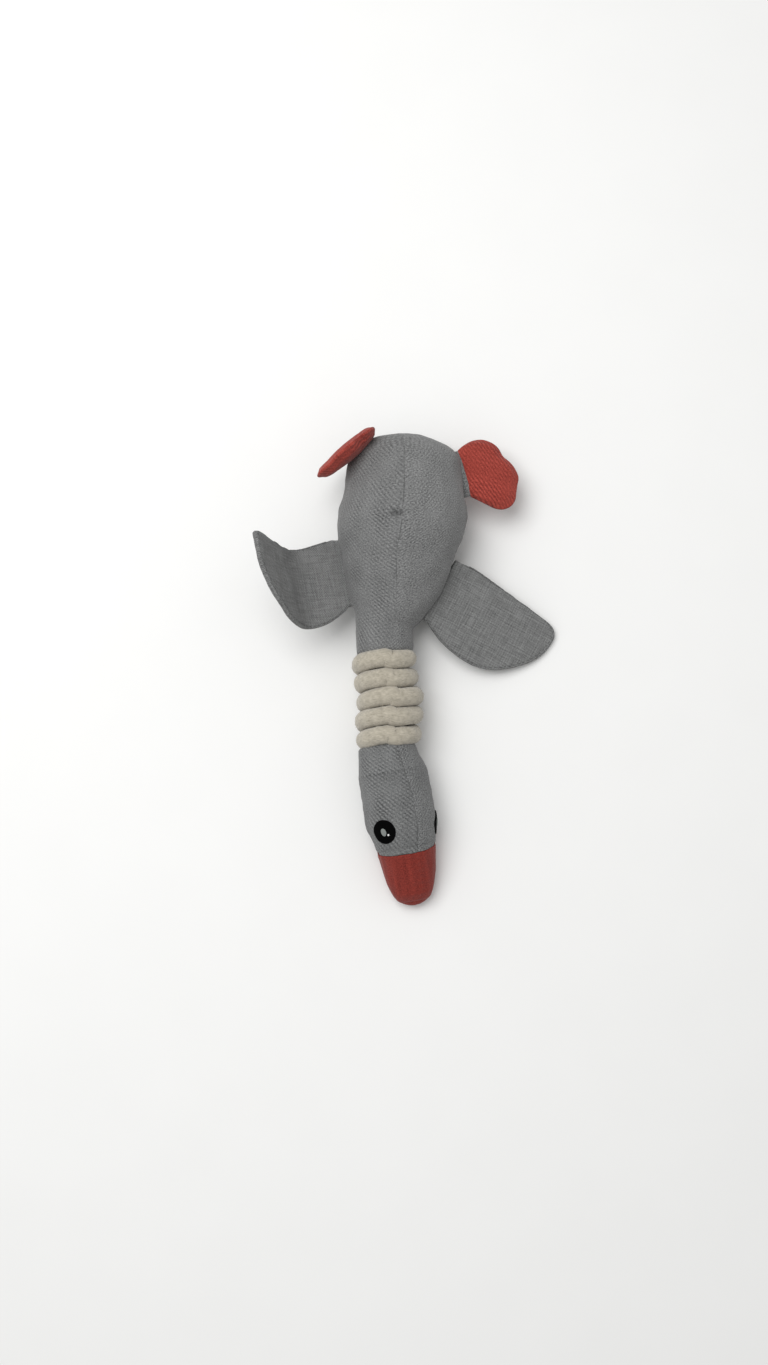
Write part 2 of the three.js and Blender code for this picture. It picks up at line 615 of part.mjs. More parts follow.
/** A flat sewn limb in its hinge's frame: +X outwards, Y along the root, +Z up, bent along its reach. */
class Limb {
  constructor(values) {
    Object.assign(this, values);
  }

  /** A point at a walk out from the hinge, a place along it and a height over the bent middle surface. */
  place(walk, along, height) {
    const slopeAt = (distance) => THREE.MathUtils.lerp(this.innerSlope, this.outerSlope,
      THREE.MathUtils.smoothstep(distance / this.reach, this.creaseShare * creaseStartShare,
        this.creaseShare * creaseEndShare));
    let [out, rise] = [0, 0];
    for (let i = 0; i < bendSteps; i += 1) {
      const slope = slopeAt((walk * (i + 0.5)) / bendSteps);
      out += (Math.cos(slope) * walk) / bendSteps;
      rise += (Math.sin(slope) * walk) / bendSteps;
    }
    const swept = along + this.sweep * (walk / this.reach) ** 2;
    const slope = slopeAt(walk);
    return new THREE.Vector3(out - Math.sin(slope) * height, this.hand * swept,
      rise + Math.cos(slope) * height);
  }

  /** Where the pattern's edge is, a share of the way round from the root's tail end to its head end. */
  rim(share) {
    const last = this.rimShares.length - 1;
    const outShares = this.rimShares.map(([out], i) => [i / last, out]);
    const alongShares = this.rimShares.map(([, along], i) => [i / last, along]);
    const along = readShares(alongShares, share) - 0.5;
    return [readShares(outShares, share) * this.reach, along * this.rootLength];
  }

  /** One layer of the limb: its rows as shares of the way out, its columns set in, its two heights. */
  layer(rows, inset, lowAt, highAt) {
    const columns = leafAcross + 1 - 2 * inset;
    const point = ({ out, back = 0, round = 1 }, across, heightAt) => {
      const [rimOut, rimAlong] = this.rim(across);
      const along = THREE.MathUtils.lerp(this.rootLength * (0.5 - across), rimAlong, out);
      return this.place(this.rootWalk + rimOut * out - back, along, heightAt(out, across) * round);
    };
    const grid = (heightAt) => rows.map((row) => Array.from({ length: columns },
      (_, k) => point(row, (k + inset) / leafAcross, heightAt)));
    return skinSlab(grid(lowAt), grid(highAt));
  }

  /** Rows that round a root off about its hinge. */
  static rootRows(radius) {
    return rootLeans.map((lean) => ({
      out: 0, back: radius * Math.sin(lean), round: Math.cos(lean),
    }));
  }

  /** Rows between a filling's two ends, as shares of the way out. */
  static fillingRows(margin, hem) {
    return Array.from({ length: leafAlong }, (_, i) => (
      { out: margin + ((hem - margin) * i) / (leafAlong - 1) }));
  }

  /** The same rows, run on to the root and the hem. */
  static clothRows(margin, hem) {
    return [{ out: 0 }, ...Limb.fillingRows(margin, hem), { out: 1 }];
  }
}

/** The hinge's frame at a form's side: the nearest line with its facing that stays clear of the form. */
function hingeFrame(group, form, side, height, facing, alongShare, fromShare, toShare, rootRadius) {
  const outward = new THREE.Vector3(Math.cos(facing), Math.sin(facing), 0);
  const along = new THREE.Vector3(-Math.sin(facing), Math.cos(facing), 0);
  const edge = (share) => new THREE.Vector3(form.reachAt(share, height, side), form.along(share), 0);
  let support = -Infinity;
  for (let i = 0; i <= seatSteps; i += 1) {
    support = Math.max(support, edge(fromShare + ((toShare - fromShare) * i) / seatSteps).dot(outward));
  }
  group.position.copy(along.clone().multiplyScalar(edge(alongShare).dot(along)));
  group.position.addScaledVector(outward, support + rootRadius + seamGap);
  group.position.z = height;
  group.rotation.z = facing;
}

/** One wing: two cloths with a crinkle sheet between them. */
function makeWing(side, hand, rootShare, height, slopes) {
  const limb = new Limb({
    reach: wingReach, rootLength: wingRootLength, rootWalk: 0, rimShares: wingRimShares,
    creaseShare: wingCreaseShare, hand, ...slopes,
  });
  const group = new THREE.Group();
  group.name = `${side}_wing`;
  const rootRadius = seamGap / 2 + clothThickness;
  const endShare = rootShare + wingRootLength / bodyLength;
  const edge = (share) => new THREE.Vector2(body.reachAt(share, height, hand), body.along(share));
  const chord = edge(rootShare).sub(edge(endShare)).multiplyScalar(hand);
  const facing = Math.atan2(-chord.x, chord.y);
  hingeFrame(group, body, hand, height, facing, (rootShare + endShare) / 2, rootShare, endShare, rootRadius);
  const { smoothstep } = THREE.MathUtils;
  const half = (wingCrinkleThickness + seamGap) / 2;
  const inside = (out) => half * smoothstep(out, 0, wingMarginShare)
    * (1 - smoothstep(out, wingHemShare, 1));
  const inner = (out) => seamGap / 2 + inside(out);
  const outer = (out) => inner(out) + clothThickness;
  const rows = [...Limb.rootRows(rootRadius), ...Limb.clothRows(wingMarginShare, wingHemShare)];
  group.add(piece(`${side}_wing_upper_cloth`, limb.layer(rows, 0, inner, outer), greyCloth));
  const lower = limb.layer(rows, 0, (out) => -outer(out), (out) => -inner(out));
  group.add(piece(`${side}_wing_lower_cloth`, lower, greyCloth));
  const halfSheet = wingCrinkleThickness / 2;
  const sheetRows = Limb.fillingRows(wingMarginShare, wingHemShare);
  const sheet = limb.layer(sheetRows, 1, () => -halfSheet, () => halfSheet);
  group.add(piece(`${side}_wing_crinkle_sheet`, sheet, crinkleFoil));
  return group;
}

/** One foot on its leg cuff: two red cloths round a soft padding. */
function makeFoot(side, hand, facing, alongShare, lift) {
  const flat = {
    innerSlope: lift, outerSlope: lift, creaseShare: 1, sweep: 0, hand, rootLength: footRootLength,
  };
  const group = new THREE.Group();
  group.name = `${side}_foot`;
  const height = bodyHalfHeight * footHeightShare;
  hingeFrame(group, body, hand, height, facing, alongShare, 0, footSeatShare, cuffHalfThickness);
  const straightEdge = [[1, 1], [1, 0]];
  const cuff = new Limb({ ...flat, reach: cuffLength, rimShares: straightEdge, rootWalk: 0 });
  const cuffHalf = (out, across) => cuffHalfThickness
    * Math.sqrt(1 - (cuffFlatShare * (2 * across - 1)) ** cuffSquareness);
  const cuffRows = [...Limb.rootRows(cuffHalfThickness), { out: 0 }, { out: 1 }];
  const cuffShape = cuff.layer(cuffRows, 0, (...place) => -cuffHalf(...place), cuffHalf);
  group.add(piece(`${side}_leg_cuff`, cuffShape, greyCloth));
  const foot = new Limb({
    ...flat, reach: footReach - cuffLength, rimShares: footRimShares, rootWalk: cuffLength + seamGap,
  });
  const dome = (out, across) => Math.sqrt(1 - (2 * out - 1) ** 2) * Math.sqrt(Math.sin(Math.PI * across));
  const inner = (out, across) => seamGap / 2 + footFullness * dome(out, across);
  const outer = (out, across) => inner(out, across) + clothThickness;
  const rows = Limb.clothRows(footMarginShare, footHemShare);
  const lower = foot.layer(rows, 0, (...place) => -outer(...place), (...place) => -inner(...place));
  group.add(piece(`${side}_foot_upper_cloth`, foot.layer(rows, 0, inner, outer), redCloth));
  group.add(piece(`${side}_foot_lower_cloth`, lower, redCloth));
  const padded = (out, across) => inner(out, across) - seamGap;
  const paddingRows = Limb.fillingRows(footMarginShare, footHemShare);
  const padding = foot.layer(paddingRows, 1, (...place) => -padded(...place), padded);
  group.add(piece(`${side}_foot_padding`, padding, whiteStuffing));
  return group;
}

const toy = new THREE.Group();
toy.name = 'goose_dog_toy';
toy.add(makeBody(), makeNeck(), makeHead());
toy.add(makeWing('left', -1, leftWingRootShare, leftWingHeight,
  { innerSlope: leftWingInnerSlope, outerSlope: leftWingOuterSlope, sweep: leftWingSweep }));
toy.add(makeWing('right', 1, rightWingRootShare, rightWingHeight,
  { innerSlope: -rightWingDroop, outerSlope: -rightWingDroop, sweep: 0 }));
toy.add(makeFoot('left', -1, leftFootFacing, leftFootMiddleShare, leftFootLift));
toy.add(makeFoot('right', 1, rightFootFacing, rightFootMiddleShare, rightFootLift));

// The origin is on the floor under the middle of the toy.
toy.updateMatrixWorld(true);
const extent = new THREE.Box3().setFromObject(toy, true);
const middle = extent.getCenter(new THREE.Vector3());
toy.position.set(-middle.x, -middle.y, -extent.min.z);

export default toy;
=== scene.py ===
"""Stuffed goose dog toy: cloth, rope, eyes and stitching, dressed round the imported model.

Sizes are written in millimetres and placed in metres, in the model's frame: +Z up, the tail towards +Y and
the beak towards -Y. Left and right are as seen from above with the tail away from the viewer.
"""

import json
import logging
import math
from collections.abc import Callable
from dataclasses import dataclass, field, replace
from enum import Enum

import bpy
import numpy as np
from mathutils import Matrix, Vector

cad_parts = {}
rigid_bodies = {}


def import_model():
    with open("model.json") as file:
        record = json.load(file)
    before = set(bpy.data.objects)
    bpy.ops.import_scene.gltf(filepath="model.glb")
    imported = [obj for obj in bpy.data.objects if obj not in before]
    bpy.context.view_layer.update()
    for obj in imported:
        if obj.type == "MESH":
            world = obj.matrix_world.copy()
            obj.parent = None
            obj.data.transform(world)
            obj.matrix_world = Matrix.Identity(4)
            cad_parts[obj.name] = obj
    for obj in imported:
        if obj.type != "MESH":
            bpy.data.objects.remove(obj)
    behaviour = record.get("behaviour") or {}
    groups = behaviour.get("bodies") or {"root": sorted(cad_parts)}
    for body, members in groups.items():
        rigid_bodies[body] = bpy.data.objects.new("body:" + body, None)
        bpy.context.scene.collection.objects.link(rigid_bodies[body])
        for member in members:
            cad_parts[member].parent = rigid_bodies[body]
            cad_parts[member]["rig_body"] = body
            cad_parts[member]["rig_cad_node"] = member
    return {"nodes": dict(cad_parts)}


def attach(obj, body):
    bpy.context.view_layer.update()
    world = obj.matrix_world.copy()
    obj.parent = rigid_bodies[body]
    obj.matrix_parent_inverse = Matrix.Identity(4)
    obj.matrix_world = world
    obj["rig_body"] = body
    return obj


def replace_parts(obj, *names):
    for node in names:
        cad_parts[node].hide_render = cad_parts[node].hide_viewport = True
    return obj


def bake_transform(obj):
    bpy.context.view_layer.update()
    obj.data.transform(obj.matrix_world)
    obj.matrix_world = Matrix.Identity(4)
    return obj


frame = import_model()

MM = 0.001
LEAST_WIDTH = 1e-6
LEAST_LENGTH = 1e-12
Array = np.ndarray
Grid = tuple[int, int]
Table = tuple[tuple[float, float], ...]
Color = tuple[float, float, float]
Curve = Callable[[Array], Array]
Places = Callable[[Array, Array], Array]
Swell = Callable[[Array, Array], Array]
Height = Callable[[Array, Array, Array], Array]
EVEN: Color = (1, 1, 1)

log = logging.getLogger("goose")


class Side(Enum):
    """A side of the toy, with the sign of its X."""

    LEFT = -1
    RIGHT = 1

    @property
    def word(self) -> str:
        """The side's name in piece names."""
        return self.name.lower()


class Layer(Enum):
    """One of a limb's two cloths, with the sign of its height over the limb's middle."""

    UPPER = 1
    LOWER = -1

    @property
    def word(self) -> str:
        """The layer's name in piece names."""
        return self.name.lower()


def read_shares(table: Table, place: Array) -> Array:
    """Reads a table of (place, value) with a smooth curve through its points.

    Args:
        table: Places in rising order, each with its value.
        place: The places to read.

    Returns:
        The value at each place.
    """
    x, y = np.array(table, float).T
    number = np.arange(len(x))
    before = np.maximum(number - 1, 0)
    after = np.minimum(number + 1, len(x) - 1)
    slope = (y[after] - y[before]) / (x[after] - x[before])
    k = np.clip(np.searchsorted(x, place) - 1, 0, len(x) - 2)
    span = x[k + 1] - x[k]
    u = (place - x[k]) / span
    start = (2 * u**3 - 3 * u**2 + 1) * y[k] + (u**3 - 2 * u**2 + u) * span * slope[k]
    return start + (3 * u**2 - 2 * u**3) * y[k + 1] + (u**3 - u**2) * span * slope[k + 1]


def smooth(value: Array, low: float, high: float) -> Array:
    """A smooth step from 0 at low to 1 at high."""
    t = np.clip((value - low) / (high - low), 0, 1)
    return t * t * (3 - 2 * t)


def bell(away: Array, width: float) -> Array:
    """A soft bump, 1 at no distance and next to nothing beyond two widths."""
    return np.exp(-((away / width) ** 2))


def rounded(share: Array) -> Array:
    """The rise of a quarter circle, from 0 at no share to 1 at a whole one and beyond."""
    return np.sqrt(np.clip(1 - (1 - np.minimum(share, 1)) ** 2, 0, 1))


def powered(value: Array, power: Array | float) -> Array:
    """A value raised to a power with its sign kept."""
    return np.sign(value) * np.abs(value) ** power


def unit(rows: Array) -> Array:
    """Vectors, one to a row, brought to a length of one."""
    return rows / np.maximum(np.linalg.norm(rows, axis=1), LEAST_LENGTH)[:, None]


def crowd(share: Array, amount: float) -> Array:
    """Shares from 0 to 1, drawn together at both ends."""
    return share - amount * np.sin(2 * math.pi * share) / (2 * math.pi)


def tube_faces(rings: int, sides: int, first: int = 0) -> list[tuple[int, ...]]:
    """The faces of a closed tube.

    Args:
        rings: How many rings of points it has.
        sides: How many points a ring has.
        first: The number of its first point.

    Returns:
        The faces round it, then its two ends.
    """
    faces = []
    for near in range(first, first + (rings - 1) * sides, sides):
        for place in range(sides):
            after = (place + 1) % sides
            faces.append((near + place, near + after, near + sides + after, near + sides + place))
    last = first + (rings - 1) * sides
    faces.append(tuple(range(first + sides - 1, first - 1, -1)))
    faces.append(tuple(range(last, last + sides)))
    return faces


def read_vectors(items: bpy.types.bpy_prop_collection, name: str) -> Array:
    """One vector of each of a mesh's points or faces, one to a row."""
    values = np.zeros(len(items) * 3)
    items.foreach_get(name, values)
    return values.reshape(-1, 3)


def lay_map(mesh: bpy.types.Mesh, layer: bpy.types.MeshUVLoopLayer, flat: Array) -> None:
    """Writes each point's place on its flat cloth into the mesh's map."""
    corner = np.zeros(len(mesh.loops), int)
    mesh.loops.foreach_get("vertex_index", corner)
    layer.name = "cloth"
    layer.data.foreach_set("uv", flat[corner].ravel())


def lumps(points: Array, size: float, seed: int) -> Array:
    """Soft unevenness of about -1 to 1 over a set of points.

    Args:
        points: The points, one to a row.
        size: The usual distance between two lumps.
        seed: Picks one pattern, the same each time.

    Returns:
        The height of the unevenness at each point.
    """
    rng = np.random.default_rng(seed)
    total = np.zeros(len(points))
    waves = 9
    for _ in range(waves):
        way = rng.normal(size=3)
        way /= np.linalg.norm(way)
        phase = rng.uniform(0, 2 * math.pi)
        total += np.sin(points @ way * (2 * math.pi / size) * rng.uniform(0.6, 1.5) + phase)
    return total / math.sqrt(waves)


class NodeBoard:
    """A material's nodes, wired by short calls."""

    def __init__(self, name: str) -> None:
        """Starts a material that holds one Principled shader."""
        self.material = bpy.data.materials.new(name)
        self.material.use_nodes = True
        self.tree = self.material.node_tree
        self.shader = self.tree.nodes["Principled BSDF"]

    def node(self, kind: str, **settings: object) -> bpy.types.Node:
        """Adds a node and sets its own settings."""
        made = self.tree.nodes.new(kind)
        for name, value in settings.items():
            setattr(made, name, value)
        return made

    def feed(self, socket: bpy.types.NodeSocket, value: object) -> None:
        """Links a socket to an output, or sets it to a plain value."""
        if isinstance(value, bpy.types.NodeSocket):
            self.tree.links.new(value, socket)
        else:
            socket.default_value = value

    def math(self, operation: str, *values: object) -> bpy.types.NodeSocket:
        """The outcome of a math node on one, two or three values."""
        made = self.node("ShaderNodeMath", operation=operation)
        for socket, value in zip(made.inputs, values):
            self.feed(socket, value)
        return made.outputs[0]

    def cloth_place(self) -> tuple[bpy.types.NodeSocket, bpy.types.NodeSocket, bpy.types.NodeSocket]:
        """Where a point is on its cloth in millimetres.

        Returns:
            The whole vector, its part across the cloth and its part along it.
        """
        uv = self.node("ShaderNodeUVMap", uv_map="cloth")
        scaled = self.node("ShaderNodeVectorMath", operation="SCALE")
        self.feed(scaled.inputs[0], uv.outputs[0])
        scaled.inputs["Scale"].default_value = 1 / MM
        parts = self.node("ShaderNodeSeparateXYZ")
        self.feed(parts.inputs[0], scaled.outputs[0])
        return scaled.outputs[0], parts.outputs[0], parts.outputs[1]

    def noise(self, place: object, scale: Color, size: float, detail: float = 2.0) -> bpy.types.NodeSocket:
        """A noise over a place in millimetres.

        Args:
            place: The vector to read it at.
            scale: How much the pattern is squeezed along each of the three ways.
            size: The usual size of a patch in millimetres.
            detail: How many finer layers it holds.

        Returns:
            The noise from 0 to 1.
        """
        mapped = self.node("ShaderNodeMapping")
        self.feed(mapped.inputs["Vector"], place)
        mapped.inputs["Scale"].default_value = scale
        made = self.node("ShaderNodeTexNoise")
        self.feed(made.inputs["Vector"], mapped.outputs[0])
        made.inputs["Scale"].default_value = 1 / size
        made.inputs["Detail"].default_value = detail
        return made.outputs[0]

    def spread(self, value: object, gain: float) -> bpy.types.NodeSocket:
        """A noise drawn apart from its middle, held between 0 and 1."""
        made = self.node("ShaderNodeMath", operation="MULTIPLY_ADD", use_clamp=True)
        for socket, item in zip(made.inputs, (value, gain, 0.5 - gain / 2)):
            self.feed(socket, item)
        return made.outputs[0]

    def blend(self, share: object, first: Color, second: Color) -> bpy.types.NodeSocket:
        """A colour between two, by a share."""
        ramp = self.node("ShaderNodeValToRGB")
        ramp.color_ramp.elements[0].color = (*first, 1)
        ramp.color_ramp.elements[1].color = (*second, 1)
        self.feed(ramp.inputs[0], share)
        return ramp.outputs[0]

    def cloth_surface(self, specks: object) -> None:
        """Makes the surface dull and faintly fluffy, as woven cloth is."""
        self.roughen(specks, -0.12, 0.96)
        self.plain(sheen_weight=0.12, sheen_roughness=0.5, specular_ior_level=0.2)

    def bump(self, height: object, depth: float) -> None:
        """Raises the surface by a height from 0 to 1, in metres at its highest."""
        made = self.node("ShaderNodeBump")
        made.inputs["Strength"].default_value = 1.0
        made.inputs["Distance"].default_value = depth
        self.feed(made.inputs["Height"], height)
        self.feed(self.shader.inputs["Normal"], made.outputs[0])

    def colour(self, share: object, dark: Color, light: Color) -> None:
        """Colours the surface between two tones."""
        self.feed(self.shader.inputs["Base Color"], self.blend(share, dark, light))

    def roughen(self, share: object, change: float, start: float) -> None:
        """Makes the surface as rough as a start and a share of a change."""
        self.feed(self.shader.inputs["Roughness"], self.math("MULTIPLY_ADD", share, change, start))

    def waves(self, place: object, spacing: float) -> bpy.types.NodeSocket:
        """Even waves from -1 to 1 at a spacing in millimetres."""
        return self.math("SINE", self.math("MULTIPLY", place, 2 * math.pi / spacing))

    def plain(self, **values: float) -> None:
        """Sets the shader's own sockets, their names in lower case with underscores."""
        for name, value in values.items():
            wanted = name.replace("_", " ").lower()
            socket = next(s for s in self.shader.inputs if s.name.lower() == wanted)
            socket.default_value = value


@dataclass(frozen=True)
class TwillCloth:
    """Heathered cloth with slanting ribs, on the piece's own cloth map."""

    name: str
    dark: Color
    light: Color
    rib_spacing: float = 2.1
    rib_slant: float = 45.0
    rib_depth: float = 0.3
    heather: float = 0.5
    float_length: float = 2.6
    float_depth: float = 0.28
    wander: float = 1.6
    wander_size: float = 7.0
    ground: float = 0.38
    clear_size: float = 15.0
    clear_gain: float = 2.4
    speck_size: float = 0.85
    speck_gain: float = 2.8
    speck_height: float = 0.25
    patch_size: float = 9.0
    patch_depth: float = 0.3

    def material(self) -> bpy.types.Material:
        """Makes the material.

        Returns:
            The finished material.
        """
        board = NodeBoard(self.name)
        place, across, along = board.cloth_place()
        slant = math.radians(self.rib_slant)
        wander = board.math("MULTIPLY", board.noise(place, EVEN, self.wander_size), self.wander)
        over = board.math("MULTIPLY", across, math.cos(slant))
        walk = board.math("MULTIPLY", along, math.sin(slant))
        cross = board.math("ADD", board.math("ADD", over, walk), wander)
        run = board.math("SUBTRACT", board.math("MULTIPLY", across, math.sin(slant)),
                         board.math("MULTIPLY", along, math.cos(slant)))
        ribs = board.math("MULTIPLY_ADD", board.waves(cross, self.rib_spacing), 0.5, 0.5)
        stagger = board.math("MULTIPLY", cross, math.pi / self.rib_spacing)
        step = 2 * math.pi / self.float_length
        floats = board.math("SINE", board.math("ADD", board.math("MULTIPLY", run, step), stagger))
        threads = board.math("MULTIPLY_ADD", floats, self.float_depth, 1 - self.float_depth)
        woven = board.math("MULTIPLY", ribs, threads)
        clear = board.spread(board.noise(place, (1, 0.7, 1), self.clear_size), self.clear_gain)
        over_ground = board.math("SUBTRACT", woven, self.ground)
        height = board.math("MULTIPLY_ADD", over_ground, clear, self.ground)
        specks = board.spread(board.noise(place, EVEN, self.speck_size, 3.0), self.speck_gain)
        patches = board.noise(place, (1, 0.5, 1), self.patch_size)
        mix = board.math("ADD", board.math("MULTIPLY", height, 1 - self.heather),
                         board.math("MULTIPLY", specks, self.heather))
        shade = board.math("MULTIPLY_ADD", patches, self.patch_depth, -self.patch_depth / 2)
        board.colour(board.math("ADD", mix, shade), self.dark, self.light)
        board.cloth_surface(specks)
        board.bump(board.math("MULTIPLY_ADD", specks, self.speck_height, height), self.rib_depth * MM)
        return board.material


@dataclass(frozen=True)
class LinenCloth:
    """Heathered cloth with threads that cross squarely, each a little different."""

    name: str
    dark: Color
    light: Color
    thread_spacing: float = 1.5
    depth: float = 0.25
    weave_share: float = 0.34
    slub_share: float = 0.36
    slub_size: float = 1.2
    slub_squeeze: float = 0.08
    slub_gain: float = 2.6
    speck_share: float = 0.32
    speck_size: float = 0.7
    speck_gain: float = 2.4
    speck_height: float = 0.35

    def material(self) -> bpy.types.Material:
        """Makes the material.

        Returns:
            The finished material.
        """
        board = NodeBoard(self.name)
        place, across, along = board.cloth_place()
        crossed = board.math("MULTIPLY", board.waves(across, self.thread_spacing),
                             board.waves(along, self.thread_spacing))
        weave = board.math("MULTIPLY_ADD", crossed, 0.5, 0.5)
        slubs = [board.spread(board.noise(place, scale, self.slub_size), self.slub_gain)
                 for scale in ((1, self.slub_squeeze, 1), (self.slub_squeeze, 1, 1))]
        specks = board.spread(board.noise(place, EVEN, self.speck_size, 3.0), self.speck_gain)
        threads = board.math("MULTIPLY", board.math("ADD", *slubs), 0.5)
        uneven = board.math("MULTIPLY", threads, self.slub_share)
        mix = board.math("MULTIPLY_ADD", weave, self.weave_share, uneven)
        board.colour(board.math("MULTIPLY_ADD", specks, self.speck_share, mix), self.dark, self.light)
        board.cloth_surface(specks)
        board.bump(board.math("MULTIPLY_ADD", specks, self.speck_height, weave), self.depth * MM)
        return board.material


@dataclass(frozen=True)
class FuzzyCotton:
    """Soft cotton rope with a matted, fuzzy skin."""

    name: str
    dark: Color
    light: Color
    fluff_size: float = 0.8
    clump_size: float = 3.2
    clump_share: float = 0.4
    gain: float = 1.7
    depth: float = 0.9

    def material(self) -> bpy.types.Material:
        """Makes the material.

        Returns:
            The finished material.
        """
        board = NodeBoard(self.name)
        place, _, _ = board.cloth_place()
        fluff = board.noise(place, (1, 0.45, 1), self.fluff_size, 4.0)
        clumps = board.noise(place, EVEN, self.clump_size, 3.0)
        mix = board.math("MULTIPLY_ADD", fluff, 1 - self.clump_share,
                         board.math("MULTIPLY", clumps, self.clump_share))
        board.colour(board.spread(mix, self.gain), self.dark, self.light)
        board.roughen(fluff, -0.1, 0.98)
        board.plain(sheen_weight=0.3, sheen_roughness=0.6, specular_ior_level=0.15)
        board.bump(mix, self.depth * MM)
        return board.material


@dataclass(frozen=True)
class SatinThread:
    """Dense embroidery or sewing thread, in fine parallel strands."""

    name: str
    dark: Color
    light: Color
    strand: float = 0.45
    roughness: float = 0.6
    gloss: float = 0.3
    fray_size: float = 0.5
    fray_share: float = 0.4
    depth: float = 0.1

    def material(self) -> bpy.types.Material:
        """Makes the material.

        Returns:
            The finished material.
        """
        board = NodeBoard(self.name)
        place, across, _ = board.cloth_place()
        strands = board.math("MULTIPLY_ADD", board.waves(across, self.strand), 0.5, 0.5)
        fray = board.noise(place, (1, 0.3, 1), self.fray_size)
        mix = board.math("MULTIPLY_ADD", strands, 1 - self.fray_share,
                         board.math("MULTIPLY", fray, self.fray_share))
        board.colour(mix, self.dark, self.light)
        board.roughen(fray, 0.15, self.roughness)
        board.plain(specular_ior_level=self.gloss)
        board.bump(mix, self.depth * MM)
        return board.material


@dataclass(frozen=True)
class InnerFinish:
    """A finish of a piece inside the toy, mottled on the object's own coordinates."""

    name: str
    dark: Color
    light: Color
    patch: float
    depth: float
    roughness: float
    metallic: float = 0.0
    transmission: float = 0.0

    def material(self) -> bpy.types.Material:
        """Makes the material.

        Returns:
            The finished material.
        """
        board = NodeBoard(self.name)
        place = board.node("ShaderNodeTexCoord").outputs["Object"]
        mottle = board.noise(place, EVEN, self.patch * MM, 3.0)
        board.colour(mottle, self.dark, self.light)
        board.roughen(mottle, 0.15, self.roughness)
        board.plain(metallic=self.metallic, transmission_weight=self.transmission)
        board.bump(mottle, self.depth * MM)
        return board.material


class Bench:
    """Makes and finishes meshes in the way a maker does by hand."""

    @staticmethod
    def patch(name: str, grid: Grid, place: Places, flat: Places, inside: Array) -> bpy.types.Object:
        """A sheet bent from a flat grid, with a map of where each point is on its cloth.

        Args:
            name: The piece's name.
            grid: Faces across the grid and along it.
            place: Gives the points, in metres, from shares across and along.
            flat: Gives each point's place on the flat cloth, in metres.
            inside: A point on the sheet's inner side.

        Returns:
            The piece, facing out, its doubled points merged.
        """
        bpy.ops.object.select_all(action="DESELECT")
        bpy.ops.mesh.primitive_grid_add(x_subdivisions=grid[0], y_subdivisions=grid[1], size=1)
        piece = bpy.context.object
        piece.name = name
        piece.data.name = name
        mesh = piece.data
        u, v = read_vectors(mesh.vertices, "co").T[:2] + 0.5
        mesh.vertices.foreach_set("co", place(u, v).ravel())
        lay_map(mesh, mesh.uv_layers[0], flat(u, v))
        mesh.update()
        Bench.edit(piece, Bench.weld)
        normals, middles = (read_vectors(mesh.polygons, kind) for kind in ("normal", "center"))
        if (normals * (middles - inside)).sum() < 0:
            Bench.edit(piece, bpy.ops.mesh.flip_normals)
        bpy.ops.object.shade_smooth()
        return piece

    @staticmethod
    def loose(name: str, points: Array, faces: list[tuple[int, ...]]) -> bpy.types.Object:
        """A piece made point by point, its cloth map the view from above.

        Args:
            name: The piece's name.
            points: Its points in metres, one to a row.
            faces: The numbers of each face's points.

        Returns:
            The piece.
        """
        mesh = bpy.data.meshes.new(name)
        mesh.from_pydata(points.tolist(), [], faces)
        lay_map(mesh, mesh.uv_layers.new(name="cloth"), points[:, :2])
        piece = bpy.data.objects.new(name, mesh)
        bpy.context.scene.collection.objects.link(piece)
        return piece

    @staticmethod
    def weld() -> None:
        """Merges doubled points."""
        bpy.ops.mesh.remove_doubles(threshold=0.01 * MM)

    @staticmethod
    def face_out() -> None:
        """Turns every face outward."""
        bpy.ops.mesh.normals_make_consistent(inside=False)

    @staticmethod
    def edit(piece: bpy.types.Object, step: Callable[[], object]) -> None:
        """Runs one edit-mode step on the whole of a piece.

        Args:
            piece: The piece.
            step: The step, called with nothing while all of the piece is selected.
        """
        bpy.ops.object.select_all(action="DESELECT")
        piece.select_set(True)
        bpy.context.view_layer.objects.active = piece
        bpy.ops.object.mode_set(mode="EDIT")
        bpy.ops.mesh.select_all(action="SELECT")
        step()
        bpy.ops.object.mode_set(mode="OBJECT")

    @staticmethod
    def thicken(piece: bpy.types.Object, thickness: float) -> None:
        """Gives a sheet its thickness inwards.

        Args:
            piece: The sheet.
            thickness: In metres.
        """
        bpy.context.view_layer.objects.active = piece
        wall = piece.modifiers.new("wall", "SOLIDIFY")
        wall.thickness = thickness
        wall.offset = -1
        wall.use_even_offset = False
        bpy.ops.object.modifier_apply(modifier=wall.name)

    @staticmethod
    def dress(piece: bpy.types.Object, material: bpy.types.Material, slot: str) -> None:
        """Puts a finish on a piece and logs how many faces it has."""
        piece.data.materials.clear()
        piece.data.materials.append(material)
        log.info("%s: %d faces", piece.name, len(piece.data.polygons))


